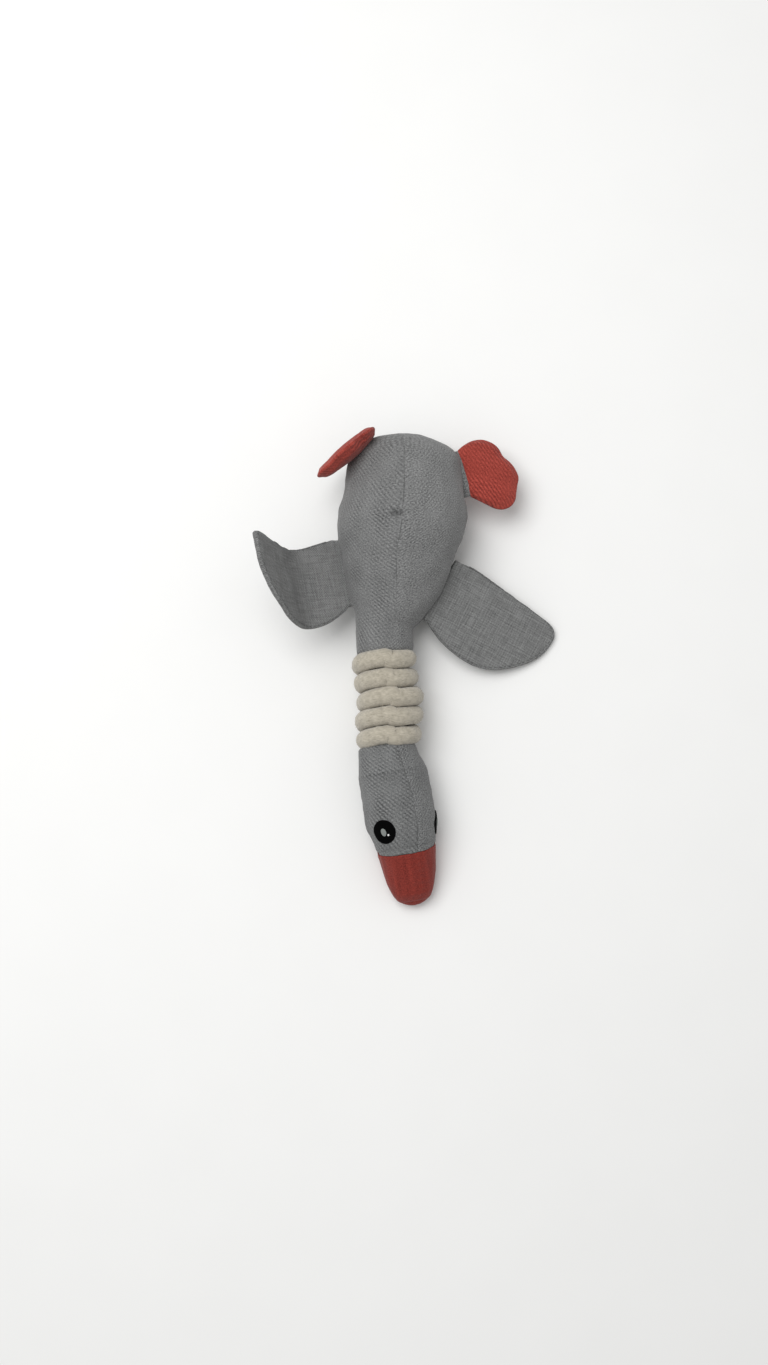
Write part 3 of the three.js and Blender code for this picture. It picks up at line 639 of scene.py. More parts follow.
@dataclass(frozen=True)
class Wardrobe:
    """Every finish of the toy, made once."""

    back_left: bpy.types.Material
    back_right: bpy.types.Material
    head_left: bpy.types.Material
    head_right: bpy.types.Material
    linen: bpy.types.Material
    foot_red: bpy.types.Material
    beak_red: bpy.types.Material
    rope: bpy.types.Material
    eye_black: bpy.types.Material
    eye_grey: bpy.types.Material
    glint: bpy.types.Material
    thread: bpy.types.Material
    wadding: bpy.types.Material
    rubber: bpy.types.Material
    plastic: bpy.types.Material
    film: bpy.types.Material

    @classmethod
    def fill(cls) -> "Wardrobe":
        """Makes the finishes.

        Returns:
            The wardrobe.
        """
        grey_dark: Color = (0.045, 0.046, 0.046)
        grey_light: Color = (0.283, 0.285, 0.283)
        head_dark: Color = (0.026, 0.027, 0.027)
        head_light: Color = (0.285, 0.289, 0.288)
        fine_ribs = {"rib_slant": 42, "rib_spacing": 1.7, "rib_depth": 0.2, "heather": 0.65}
        finishes = {
            "back_left": TwillCloth("grey_twill_left", grey_dark, grey_light, rib_slant=-42),
            "back_right": TwillCloth("grey_twill_right", grey_dark, grey_light, **fine_ribs),
            "head_left": TwillCloth("head_twill_left", head_dark, head_light, rib_slant=-42, rib_spacing=2.3,
                                    rib_depth=0.35, heather=0.42),
            "head_right": TwillCloth("head_twill_right", head_dark, head_light, **fine_ribs),
            "linen": LinenCloth("grey_linen", (0.004, 0.004, 0.004), (0.315, 0.319, 0.315)),
            "foot_red": TwillCloth("foot_red_twill", (0.085, 0.007, 0.005), (0.51, 0.085, 0.061),
                                   rib_slant=70, heather=0.4, float_length=5),
            "beak_red": TwillCloth("beak_red_twill", (0.1, 0.009, 0.006), (0.3, 0.041, 0.027), rib_slant=0,
                                   rib_spacing=5.2, rib_depth=0.25, heather=0.6, float_length=60),
            "rope": FuzzyCotton("cream_cotton", (0.2, 0.18, 0.138), (0.542, 0.495, 0.406)),
            "eye_black": SatinThread("eye_black_thread", (0.0008, 0.0008, 0.0008), (0.003, 0.003, 0.003),
                                     roughness=0.8, gloss=0.02),
            "eye_grey": SatinThread("eye_grey_thread", (0.13, 0.145, 0.135), (0.27, 0.29, 0.275)),
            "glint": SatinThread("glint_thread", (0.55, 0.56, 0.54), (0.8, 0.8, 0.78)),
            "thread": SatinThread("grey_thread", (0.04, 0.041, 0.042), (0.12, 0.122, 0.124), strand=0.2),
            "wadding": InnerFinish("white_wadding", (0.66, 0.65, 0.62), (0.86, 0.85, 0.82), 2.5, 0.8, 0.9),
            "rubber": InnerFinish("milky_rubber", (0.6, 0.62, 0.56), (0.76, 0.78, 0.72), 6.0, 0.05, 0.45,
                                  transmission=0.2),
            "plastic": InnerFinish("white_plastic", (0.8, 0.8, 0.78), (0.87, 0.87, 0.85), 4.0, 0.02, 0.3),
            "film": InnerFinish("crinkled_film", (0.5, 0.52, 0.55), (0.68, 0.7, 0.73), 3.0, 0.4, 0.25,
                                metallic=0.4),
        }
        return cls(**{name: finish.material() for name, finish in finishes.items()})


@dataclass
class StuffedForm:
    """A stuffed form from its far tip, at share 0, to its pivot, at share 1, and on to where the rope starts.

    The tables widths, heights, undersides and drifts go by share, and the neck's by millimetres past the
    pivot.
    """

    pivot: tuple[float, float, float]
    heading: float
    turn: float
    length: float
    half_width: float
    half_height: float
    squareness: float
    sink: float
    widths: Table
    heights: Table
    undersides: Table
    drifts: Table
    neck: Table
    end_skew: float = 0.0
    drift_fade: float = 13.0
    skewed: tuple[float, float] = (4.0, 14.0)
    lowest: float = 0.15
    step: float = 0.002
    widest: float = 0.9
    highest: float = 0.97
    tip_fade: float = 0.12

    @property
    def reach(self) -> float:
        """The share at which the form ends, under the rope."""
        return 1 + self.neck[-1][0] / self.length

    def section(self, share: Array) -> tuple[Array, ...]:
        """The section at each share.

        Args:
            share: Shares of the form's length.

        Returns:
            Half width, half height, the power of its roundness, middle's X and middle's Z, in millimetres.
        """
        inner = np.clip(share, 0, 1)
        tip = self.widths[1][0]
        near = np.clip(inner / tip, 0, 1)
        rounding = np.sqrt(near)
        width = self.half_width * read_shares(self.widths, np.maximum(inner, tip)) * rounding
        height_tip = np.interp(tip, *np.array(self.heights).T)
        height = np.where(inner < tip, height_tip * rounding, read_shares(self.heights, inner))
        height = height * self.half_height
        under = read_shares(self.undersides, inner) * self.half_height
        low = read_shares(self.undersides, np.array([0.0, tip])) * self.half_height
        tip_middle = low[0] + near * (low[1] + height_tip * self.half_height - low[0])
        middle = np.where(inner < tip, tip_middle, under + height)
        drift = self.half_width * read_shares(self.drifts, inner)
        past = np.maximum(share - 1, 0) * self.length
        round_part = read_shares(self.neck, past)
        after = share > 1
        width = np.where(after, round_part, width)
        height = np.where(after, round_part, height)
        drift = drift * (1 - smooth(past, 0, self.drift_fade))
        middle = np.where(after, self.pivot[2], middle - self.sink)
        square = 2 + self.squareness * np.where(after, 0, np.sin(math.pi * inner))
        return width, height, square, drift, middle

    def skin(self, share: Array, angle: Array) -> Array:
        """Points on the skin.

        Args:
            share: Shares of the form's length.
            angle: Angles round it, counted from +X towards +Z.

        Returns:
            The points in metres, one to a row.
        """
        width, height, square, drift, middle = self.section(share)
        power = 2 / square
        across, rise = np.cos(angle), np.sin(angle)
        x = drift + width * powered(across, power)
        z = middle + height * powered(rise, power)
        past = np.maximum(share - 1, 0) * self.length
        farther = self.end_skew * np.maximum(-across, 0) * smooth(past, *self.skewed)
        y = self.heading * (self.length * (1 - share) - farther)
        return self.to_toy(x, y, z)

    def to_toy(self, x: Array, y: Array, z: Array) -> Array:
        """Turns the form's own places, in millimetres, into the toy's, in metres."""
        turn = math.radians(self.turn)
        over = self.pivot[0] + x * math.cos(turn) - y * math.sin(turn)
        walk = self.pivot[1] + x * math.sin(turn) + y * math.cos(turn)
        return np.stack([over, walk, np.maximum(z, self.lowest)], axis=1) * MM

    def from_toy(self, places: Table) -> tuple[Array, Array]:
        """The shares of places (y, x) in the toy, and how far across the form they are, in millimetres."""
        walk, over = np.array(places, float).T
        turn = math.radians(self.turn)
        over, walk = over - self.pivot[0], walk - self.pivot[1]
        along = walk * math.cos(turn) - over * math.sin(turn)
        return 1 - along * self.heading / self.length, over * math.cos(turn) + walk * math.sin(turn)

    def top_angle(self, share: Array, over: Array) -> Array:
        """The angle at which the upper side is so many millimetres across."""
        width, _, square, drift, _ = self.section(share)
        level = np.clip((over - drift) / np.maximum(width, LEAST_WIDTH), -self.widest, self.widest)
        return np.arccos(powered(level, square / 2) * smooth(share, 0, self.tip_fade))

    def seam_angle(self, seam: Table, share: Array) -> Array:
        """The angle at a share of a seam on the upper side, given by its places (y, x) in the toy."""
        places, over = self.from_toy(seam)
        order = np.argsort(places)
        return self.top_angle(share, np.interp(share, places[order], over[order]))

    def outward(self, share: Array, angle: Array) -> Array:
        """The skin's outward direction at each place."""
        ahead, behind = np.minimum(share + self.step, self.reach), np.maximum(share - self.step, self.step)
        along = self.skin(ahead, angle) - self.skin(behind, angle)
        around = self.skin(share, angle + self.step) - self.skin(share, angle - self.step)
        return unit(np.cross(around, along) * self.heading)

    def girth_angle(self, share: Array, height: float) -> Array:
        """The right side's angle at which the skin is at a height."""
        _, half, square, _, middle = self.section(share)
        level = np.clip((height - middle) / np.maximum(half, LEAST_WIDTH), -self.highest, self.highest)
        return np.arcsin(powered(level, square / 2))


def no_swell(share: Array, angle: Array) -> Array:
    """The swelling of a form whose stuffing wasn't simulated."""
    return np.zeros_like(share)


@dataclass
class Stuffing:
    """Stuffing that blows a form's cloth out between its seams, found by Blender's cloth simulation."""

    form: StuffedForm
    seams: tuple[Curve, ...]
    around: int = 72
    along: int = 64
    pressure: float = 4.0
    frames: int = 20
    most: float = 2.0
    end_gap: float = 0.02
    belly_height: float = 1.5

    def skin(self) -> tuple[bpy.types.Object, Array, Array]:
        """A coarse closed skin with the form's seams held fast.

        Returns:
            The skin, and the shares and angles of its points.
        """
        shares = np.linspace(self.end_gap, self.form.reach - self.end_gap, self.along)
        angles = np.arange(self.around) * 2 * math.pi / self.around
        share, angle = (grid.ravel() for grid in np.meshgrid(shares, angles, indexing="ij"))
        points = self.form.skin(share, angle)
        piece = Bench.loose("stuffing_skin", points, tube_faces(self.along, self.around))
        Bench.edit(piece, Bench.face_out)
        held = (share < shares[2]) | (share > shares[-3]) | (points[:, 2] < self.belly_height * MM)
        for seam in self.seams:
            off = (angle - seam(share) + math.pi) % (2 * math.pi) - math.pi
            held |= np.abs(off) < math.pi / self.around * 1.05
        group = piece.vertex_groups.new(name="held")
        group.add([int(i) for i in np.nonzero(held)[0]], 1.0, "REPLACE")
        return piece, share, angle

    def blow_up(self) -> Swell:
        """Runs the simulation.

        Returns:
            A function that reads how far the cloth swells, in millimetres, at shares and angles.
        """
        piece, share, angle = self.skin()
        before = read_vectors(piece.data.vertices, "co")
        cloth = piece.modifiers.new("cloth", "CLOTH")
        weave = {
            "quality": 4, "mass": 0.3,
            "tension_stiffness": 15, "compression_stiffness": 15, "shear_stiffness": 5,
            "bending_stiffness": 0.5, "vertex_group_mass": "held", "use_pressure": True,
            "uniform_pressure_force": self.pressure,
        }
        for name, value in weave.items():
            setattr(cloth.settings, name, value)
        cloth.settings.effector_weights.gravity = 0
        cloth.point_cache.frame_start = 1
        cloth.point_cache.frame_end = self.frames
        scene = bpy.context.scene
        for number in range(1, self.frames + 1):
            scene.frame_set(number)
        settled = piece.evaluated_get(bpy.context.evaluated_depsgraph_get()).data
        after = read_vectors(settled.vertices, "co")
        scene.frame_set(1)
        bpy.data.objects.remove(piece, do_unlink=True)
        moved = ((after - before) * self.form.outward(share, angle)).sum(axis=1) / MM
        table = np.clip(moved, -self.most, self.most).reshape(self.along, self.around)
        log.info("stuffing swells the cloth %.2f to %.2f mm", table.min(), table.max())
        table = table - table.mean()
        shares = share.reshape(self.along, self.around)[:, 0]

        def read(at: Array, turn: Array) -> Array:
            """How far the cloth swells, between the skin's own points."""
            row = np.clip((at - shares[0]) / (shares[1] - shares[0]), 0, self.along - 1.001)
            column = (turn / (2 * math.pi) * self.around) % self.around
            low_row, low_column = row.astype(int), column.astype(int) % self.around
            next_column = (low_column + 1) % self.around
            down, over = row - low_row, column - np.floor(column)
            first = table[low_row, low_column] * (1 - over) + table[low_row, next_column] * over
            second = table[low_row + 1, low_column] * (1 - over) + table[low_row + 1, next_column] * over
            return first * (1 - down) + second * down

        return read

    def swell(self) -> Swell:
        return self.blow_up()


@dataclass
class SewnSkin:
    """Cloth panels over a form, drawn in at their seams."""

    form: StuffedForm
    seam_depth: float = 0.75
    seam_width: float = 1.3
    stitch_length: float = 4.2
    cloth: float = 1.0
    gap: float = 0.05
    deep: tuple[float, float] = (0.0, 1.0)
    faint: float = 0.4
    bow: tuple[float, float] = (0.0, 0.0)
    bow_width: float = 0.07
    unevenness: float = 1.0
    lump_heights: tuple[float, float] = (0.45, 0.16)
    lump_sizes: tuple[float, float] = (26.0, 9.0)
    full_size: float = 28.0
    seam_crowding: float = 0.6
    tip_crowding: float = 0.5
    deep_fade: float = 0.04
    pucker_depth: float = 0.14
    pucker_reach: float = 3.5
    least_radius: float = 0.5
    full_radius: float = 8.0
    tautness: float = 0.7
    end_depth: float = 0.7
    end_width: float = 1.2
    lowest: float = 0.1
    swell: Swell = no_swell

    def rise(self, share: Array, angle: Array, seed: int) -> Array:
        """How far the stuffed cloth stands over the form, in millimetres.

        Args:
            share: Shares of the form's length.
            angle: Angles round it.
            seed: Picks the unevenness.

        Returns:
            The rise at each place, less than nothing where the cloth sinks.
        """
        width, height, *_ = self.form.section(share)
        bare = self.form.skin(share, angle)
        soft = self.unevenness * np.minimum((width + height) / self.full_size, 1) ** 2
        uneven = (self.lump_heights[0] * lumps(bare, self.lump_sizes[0] * MM, seed)
                  + self.lump_heights[1] * lumps(bare, self.lump_sizes[1] * MM, seed + 7))
        return soft * uneven + self.swell(share, angle)

    def strength(self, share: Array) -> Array:
        """How strongly a seam draws the cloth in at a share."""
        first, last = self.deep
        is_deep = smooth(share, first - self.deep_fade, first)
        is_deep = is_deep * (1 - smooth(share, last, last + self.deep_fade))
        return self.faint + (1 - self.faint) * is_deep

    def panel(self, name: str, grid: Grid, start: float, end: float, low: Curve, high: Curve, seed: int,
              seam_ends: tuple[bool, bool] = (False, False), dents: "tuple[Dent, ...]" = (),
              grain: float = 0.5) -> bpy.types.Object:
        """One panel between two seams.

        Args:
            name: The piece's name.
            grid: Faces across and along.
            start: The form's share at which it begins.
            end: The share at which it ends.
            low: The angle of its one seam at a share.
            high: The angle of its other seam.
            seed: Picks its unevenness.
            seam_ends: Whether its first and its last edge are sewn too.
            dents: Where it is drawn in.
            grain: Which line from seam to seam its threads run along.

        Returns:
            The panel as a closed shell.
        """
        form = self.form

        def spread(u: Array, v: Array) -> tuple[Array, Array, Array, Array]:
            """Shares and places on the form, from shares across and along."""
            crowded = crowd(u, self.seam_crowding)
            crowding = self.tip_crowding if start == 0 else 0.0
            share = start + (end - start) * (v - crowding * np.sin(math.pi * v) / math.pi)
            first, last = low(share), high(share)
            top = np.sin(first + (last - first) * crowded)
            bowed = share - self.bow[1] * top * bell(share - self.bow[0], self.bow_width)
            share = np.where(share < self.form.reach * 0.9, np.maximum(bowed, 0), share)
            width, height, *_ = form.section(share)
            radius = np.maximum((width + height) / 2, self.least_radius)
            edge = self.gap / radius
            angle = first + edge + (last - first - 2 * edge) * crowded
            off = np.minimum(crowded, 1 - crowded) * (last - first) * radius
            return share, angle, off, radius

        def place(u: Array, v: Array) -> Array:
            """The sheet's points, from shares across and along."""
            share, angle, off, radius = spread(u, v)
            bare = form.skin(share, angle)
            along = share * form.length
            pull = bell(off, self.seam_width)
            pucker = np.sin(2 * math.pi * along / self.stitch_length) * np.exp(-off / self.pucker_reach)
            groove = self.seam_depth * pull * np.minimum(radius / self.full_radius, 1)
            depth = self.strength(share) * (groove + self.pucker_depth * pucker)
            for is_sewn, edge in zip(seam_ends, (start, end)):
                if is_sewn:
                    depth = depth + self.end_depth * bell(np.abs(share - edge) * form.length, self.end_width)
            depth = depth - self.rise(share, angle, seed) * (1 - self.tautness * pull)
            for dent in dents:
                depth = depth + dent.depth_at(bare)
            points = bare - form.outward(share, angle) * depth[:, None] * MM
            points[:, 2] = np.maximum(points[:, 2], self.lowest * MM)
            return points

        def flat(u: Array, v: Array) -> Array:
            """Where those points are on the flat cloth, in metres."""
            share, angle, _, radius = spread(u, v)
            middle = low(share) + (high(share) - low(share)) * grain
            return np.stack([(middle - angle) * radius * form.heading, share * form.length], axis=1) * MM

        centre = form.skin(np.array([0.5, 0.5]), np.array([0.0, math.pi])).mean(axis=0)
        piece = Bench.patch(name, grid, place, flat, centre)
        Bench.thicken(piece, self.cloth * MM)
        return piece


@dataclass(frozen=True)
class Dent:
    """A spot where cloth is drawn in, with folds that run out from it."""

    place: tuple[float, float]
    radius: float
    depth: float
    folds: int = 5
    fold_share: float = 0.35
    narrowing: tuple[float, float] = (0.6, 1.5)
    least_height: float = 30.0

    def depth_at(self, points: Array) -> Array:
        """How far points are drawn in.

        Args:
            points: The points in metres, one to a row.

        Returns:
            How far each is drawn in, in millimetres.
        """
        away = points[:, :2] / MM - np.array(self.place)
        far = np.hypot(*(away * np.array(self.narrowing)).T)
        above = points[:, 2] > self.least_height * MM
        angle = np.arctan2(away[:, 1], away[:, 0])
        pit = self.depth * bell(far, self.radius)
        fold = self.fold_share * self.depth * np.cos(self.folds * angle) * np.exp(-far / (2 * self.radius))
        return np.where(above, pit + fold * np.minimum(far / self.radius, 1), 0)


NECK_PIVOT = (-16.54, 26.01, 25.1)
HEAD_PIVOT = (-12.11, -71.59, 25.1)
NECK_TURN = 2.6
THIN_CLOTH = 0.8
SEAM_EDGE = 0.12
FAR_INSIDE = 400.0


@dataclass
class Body:
    """Two back panels and a belly over the body's stuffing."""

    clothes: Wardrobe
    side_seam_height: float = 25.0
    back_seam: Table = ((1.0, -15.0), (19.0, -10.6), (39.0, -9.1), (55.0, -8.5), (70.0, -8.9), (83.0, -6.5),
                        (91.0, -5.2), (96.0, -6.4), (102.0, -4.5), (116.0, -3.5), (161.0, -3.4))
    form: StuffedForm = field(default_factory=lambda: StuffedForm(
        pivot=NECK_PIVOT, heading=1, turn=0, length=134.5, half_width=44, half_height=31,
        squareness=0.35, sink=0.5,
        widths=((0, 0), (0.035, 0.47), (0.1, 0.785), (0.16, 0.88), (0.24, 0.89), (0.34, 0.94), (0.46, 1),
                (0.53, 0.965), (0.65, 0.865), (0.74, 0.795), (0.84, 0.69), (0.92, 0.57), (1, 0.441)),
        heights=((0, 0), (0.035, 0.38), (0.1, 0.62), (0.2, 0.82), (0.32, 0.94), (0.5, 1), (0.7, 0.9),
                 (0.85, 0.77), (1, 0.626)),
        undersides=((0, 0.68), (0.035, 0.42), (0.1, 0.25), (0.2, 0.06), (0.3, 0), (0.68, 0), (0.84, 0.05),
                    (1, 0.2)),
        drifts=((0, 0.28), (0.1, 0.275), (0.16, 0.315), (0.24, 0.305), (0.34, 0.29), (0.5, 0.26),
                (0.65, 0.21), (0.84, 0.15), (0.93, 0.09), (1, 0)),
        neck=((0, 19.4), (8, 19.3), (14, 19), (17.5, 18), (19.5, 14.5), (21.5, 11), (24, 10.2)),
        end_skew=2.2))
    pinch: Dent = Dent((-8.6, 96.5), 2.7, 4.2)
    marks: Dent = Dent((-8.3, 55.5), 2.0, 0.7, 4)
    seed: int = 3

    def seam_angle(self, share: Array) -> Array:
        """The angle of the back seam at a share."""
        return self.form.seam_angle(self.back_seam, share)

    def build(self) -> list[bpy.types.Object]:
        """Makes the three panels.

        Returns:
            The panels.
        """
        form = self.form

        def right(share: Array) -> Array:
            """The angle of the right side seam."""
            return form.girth_angle(share, self.side_seam_height)

        def left(share: Array) -> Array:
            """The angle of the left side seam."""
            return math.pi - right(share)

        def under(share: Array) -> Array:
            """The angle of the right side seam, a turn on."""
            return right(share) + 2 * math.pi

        swell = Stuffing(form, (self.seam_angle, right, left)).swell()
        sewn = SewnSkin(form, seam_depth=0.45, gap=0.02, deep=(0.35, 0.66), faint=0.12, swell=swell)
        back = (self.pinch, self.marks)
        plan = (
            ("body_back_left", self.seam_angle, left, self.clothes.back_left, back),
            ("body_back_right", right, self.seam_angle, self.clothes.back_right, back),
            ("body_belly", left, under, self.clothes.back_right, ()),
        )
        made = []
        for node, low, high, finish, dents in plan:
            piece = sewn.panel(f"{node}_cloth", (72, 150), 0, form.reach, low, high, self.seed, dents=dents)
            Bench.dress(piece, finish, "grey_cloth")
            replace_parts(piece, node)
            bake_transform(piece)
            made.append(piece)
        return made


@dataclass
class Neck:
    """The cloth sleeve and the rope wound on it."""

    clothes: Wardrobe
    length: float = 97.7
    waist: float = 9.8
    rope_diameter: float = 11.6
    turns: float = 4.5
    pitch: float = 12.7
    climb_share: float = 0.8
    jog: float = 1.9
    wander: Table = ((-0.3, -1.1), (0, -1.1), (1, -0.5), (2, 1.9), (3, 0.1), (4, -1.2), (4.3, -1.2))
    looseness: Table = ((-0.3, 0.6), (0, 0.8), (1, 0.4), (2, 1.2), (3, 1.1), (4, 0.7), (4.3, 0.4))
    end_walk: float = 0.6
    clearance: float = 0.3
    top_shares: tuple[float, float] = (-0.2, 0.6)
    jog_span: tuple[float, float] = (0.5, 4.0)
    end_turns: tuple[float, float] = (4.02, 4.25)
    flatness: float = 1.07
    turn_step: float = 0.004
    end_share: float = 0.9
    lump_shares: tuple[float, float] = (0.035, 0.022)
    lump_sizes: tuple[float, float] = (14.0, 4.5)
    seed: int = 21
    fibres: int = 5200
    fibre_seed: int = 5
    fibre_length: tuple[float, float] = (0.7, 1.9)
    fibre_lift: tuple[float, float] = (0.1, 0.65)
    fibre_droop: tuple[float, float] = (0.2, 1.3)
    fibre_scatter: float = 0.25
    fibre_root: float = 0.15
    fibre_half: float = 0.05
    sleeve_start: float = 16.5
    wrinkle: float = 0.12
    wrinkle_folds: int = 9
    wrinkle_twist: float = 5.0
    flare: float = 1.4
    flare_power: int = 14

    @property
    def ring(self) -> float:
        """How far the rope's middle is from the neck's."""
        return self.waist + self.clearance + self.rope_diameter / 2

    @property
    def start(self) -> float:
        """Where the rope first crosses the top of the neck."""
        return (self.length - (math.ceil(self.turns) - 1) * self.pitch) / 2

    def to_toy(self, over: Array, walk: Array, rise: Array) -> Array:
        """Turns the neck's own places, in millimetres from its pivot, into the toy's, in metres."""
        turn = math.radians(NECK_TURN)
        x = NECK_PIVOT[0] + over * math.cos(turn) + walk * math.sin(turn)
        y = NECK_PIVOT[1] + over * math.sin(turn) - walk * math.cos(turn)
        return np.stack([x, y, NECK_PIVOT[2] + rise], axis=-1) * MM

    def middle(self, turn: Array) -> Array:
        """The middle of the rope.

        Args:
            turn: How many turns it has made since it first crossed the top.

        Returns:
            The middle at each turn, in metres.
        """
        ring = self.ring + read_shares(self.looseness, turn)
        angle = 2 * math.pi * turn
        over, rise = -ring * np.sin(angle), ring * np.cos(angle)
        on_top = smooth(rise / ring, *self.top_shares)
        step = smooth(over, *self.jog_span) - (over + ring) / (2 * ring)
        walk = self.start + self.pitch * (turn - self.climb_share * np.sin(angle) / (2 * math.pi))
        walk = walk + self.jog * step * on_top + self.end_walk * smooth(turn, *self.end_turns)
        return self.to_toy(over + read_shares(self.wander, turn), walk, rise)

    def rope(self) -> bpy.types.Object:
        """Makes the rope as one soft tube with rounded ends.

        Returns:
            The rope.
        """
        radius = self.rope_diameter / 2
        first = -(self.turns - math.floor(self.turns)) / 2
        length = 2 * math.pi * self.ring * self.turns

        def place(u: Array, v: Array) -> Array:
            """The sheet's points, from shares across and along."""
            turn = first + self.turns * v
            centre = self.middle(turn)
            heading = unit(self.middle(turn + self.turn_step) - self.middle(turn - self.turn_step))
            axis = self.to_toy(0 * turn, 0 * turn, 0 * turn)
            axle = unit(self.to_toy(0 * turn, 0 * turn + 1, 0 * turn) - axis)
            out = centre - axis
            out = unit(out - (out * axle).sum(axis=1)[:, None] * axle)
            side = np.cross(heading, out)
            end = rounded(np.minimum(v, 1 - v) * length / (self.end_share * radius))
            angle = 2 * math.pi * u[:, None]
            bare = centre + (out * np.cos(angle) + side * np.sin(angle) * self.flatness) * radius * MM
            swell = 1.0
            for number, (share, size) in enumerate(zip(self.lump_shares, self.lump_sizes)):
                swell = swell + share * lumps(bare, size * MM, self.seed + number)
            return centre + (bare - centre) * (swell * end)[:, None]

        def flat(u: Array, v: Array) -> Array:
            """Where those points are on the flat cloth, in metres."""
            return np.stack([u * 2 * math.pi * radius, v * length], axis=1) * MM

        piece = Bench.patch("neck_rope_cotton", (28, 480), place, flat, np.zeros(3))
        Bench.edit(piece, Bench.face_out)
        Bench.dress(piece, self.clothes.rope, "cream_rope")
        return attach(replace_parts(piece, "neck_rope"), "neck")

    def fuzz(self, rope: bpy.types.Object) -> bpy.types.Object:
        """Short loose fibres all over the rope.

        Args:
            rope: The rope that they grow from.

        Returns:
            The fibres, as one piece of narrow strips.
        """
        rng = np.random.default_rng(self.fibre_seed)
        mesh = rope.data
        pick = rng.choice(len(mesh.polygons), self.fibres)
        middles, normals = (read_vectors(mesh.polygons, kind)[pick] for kind in ("center", "normal"))
        way = rng.normal(size=(self.fibres, 3))
        way = unit(way - (way * normals).sum(axis=1)[:, None] * normals)
        middles = middles + rng.normal(size=(self.fibres, 3)) * self.fibre_scatter * MM
        length = rng.uniform(*self.fibre_length, self.fibres)[:, None] * MM
        lift = rng.uniform(*self.fibre_lift, self.fibres)[:, None] * MM
        half = np.cross(normals, way) * self.fibre_half * MM
        droop = rng.uniform(*self.fibre_droop, self.fibres)[:, None]
        root = middles - normals * self.fibre_root * MM
        mid = middles + way * length * 0.5 + normals * lift
        tip = middles + way * length + normals * lift * droop
        points = np.stack([root - half, root + half, mid - half, mid + half, tip], axis=1)
        start = range(0, self.fibres * 5, 5)
        faces = [(a, a + 1, a + 3, a + 2) for a in start] + [(a + 2, a + 3, a + 4) for a in start]
        piece = Bench.loose("neck_rope_fuzz", points.reshape(-1, 3), faces)
        Bench.dress(piece, self.clothes.rope, "cream_rope")
        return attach(piece, "neck")

    def sleeve(self) -> bpy.types.Object:
        """Makes the cloth tube under the rope.

        Returns:
            The tube.
        """
        first, last = self.sleeve_start, self.length - self.sleeve_start

        def place(u: Array, v: Array) -> Array:
            """The sheet's points, from shares across and along."""
            angle = 2 * math.pi * u
            ends = np.abs(2 * v - 1) ** self.flare_power
            wrinkle = self.wrinkle * np.sin(self.wrinkle_folds * angle + self.wrinkle_twist * v)
            radius = self.waist + wrinkle + self.flare * ends
            return self.to_toy(radius * np.cos(angle), first + (last - first) * v, radius * np.sin(angle))

        def flat(u: Array, v: Array) -> Array:
            """Where those points are on the flat cloth, in metres."""
            return np.stack([u * 2 * math.pi * self.waist, v * (last - first)], axis=1) * MM

        centre = self.to_toy(np.zeros(1), np.full(1, self.length / 2), np.zeros(1))[0]
        piece = Bench.patch("neck_sleeve_cloth", (64, 80), place, flat, centre)
        Bench.thicken(piece, THIN_CLOTH * MM)
        Bench.dress(piece, self.clothes.back_right, "grey_cloth")
        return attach(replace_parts(piece, "neck_sleeve"), "neck")

    def build(self) -> list[bpy.types.Object]:
        """Makes the sleeve, the rope and its fibres.

        Returns:
            The three pieces.
        """
        rope = self.rope()
        return [self.sleeve(), rope, self.fuzz(rope)]


@dataclass(frozen=True)
class Oval:
    """One embroidered oval of an eye.

    Its shift off the eye's middle and its size are round the head and along it, in millimetres. Its base and
    its lift are where its rim and its top lie over the skin.
    """

    word: str
    finish: str
    slot: str
    size: tuple[float, float]
    lift: float
    base: float = 0.0
    shift: tuple[float, float] = (0.0, 0.0)
    node: str = ""


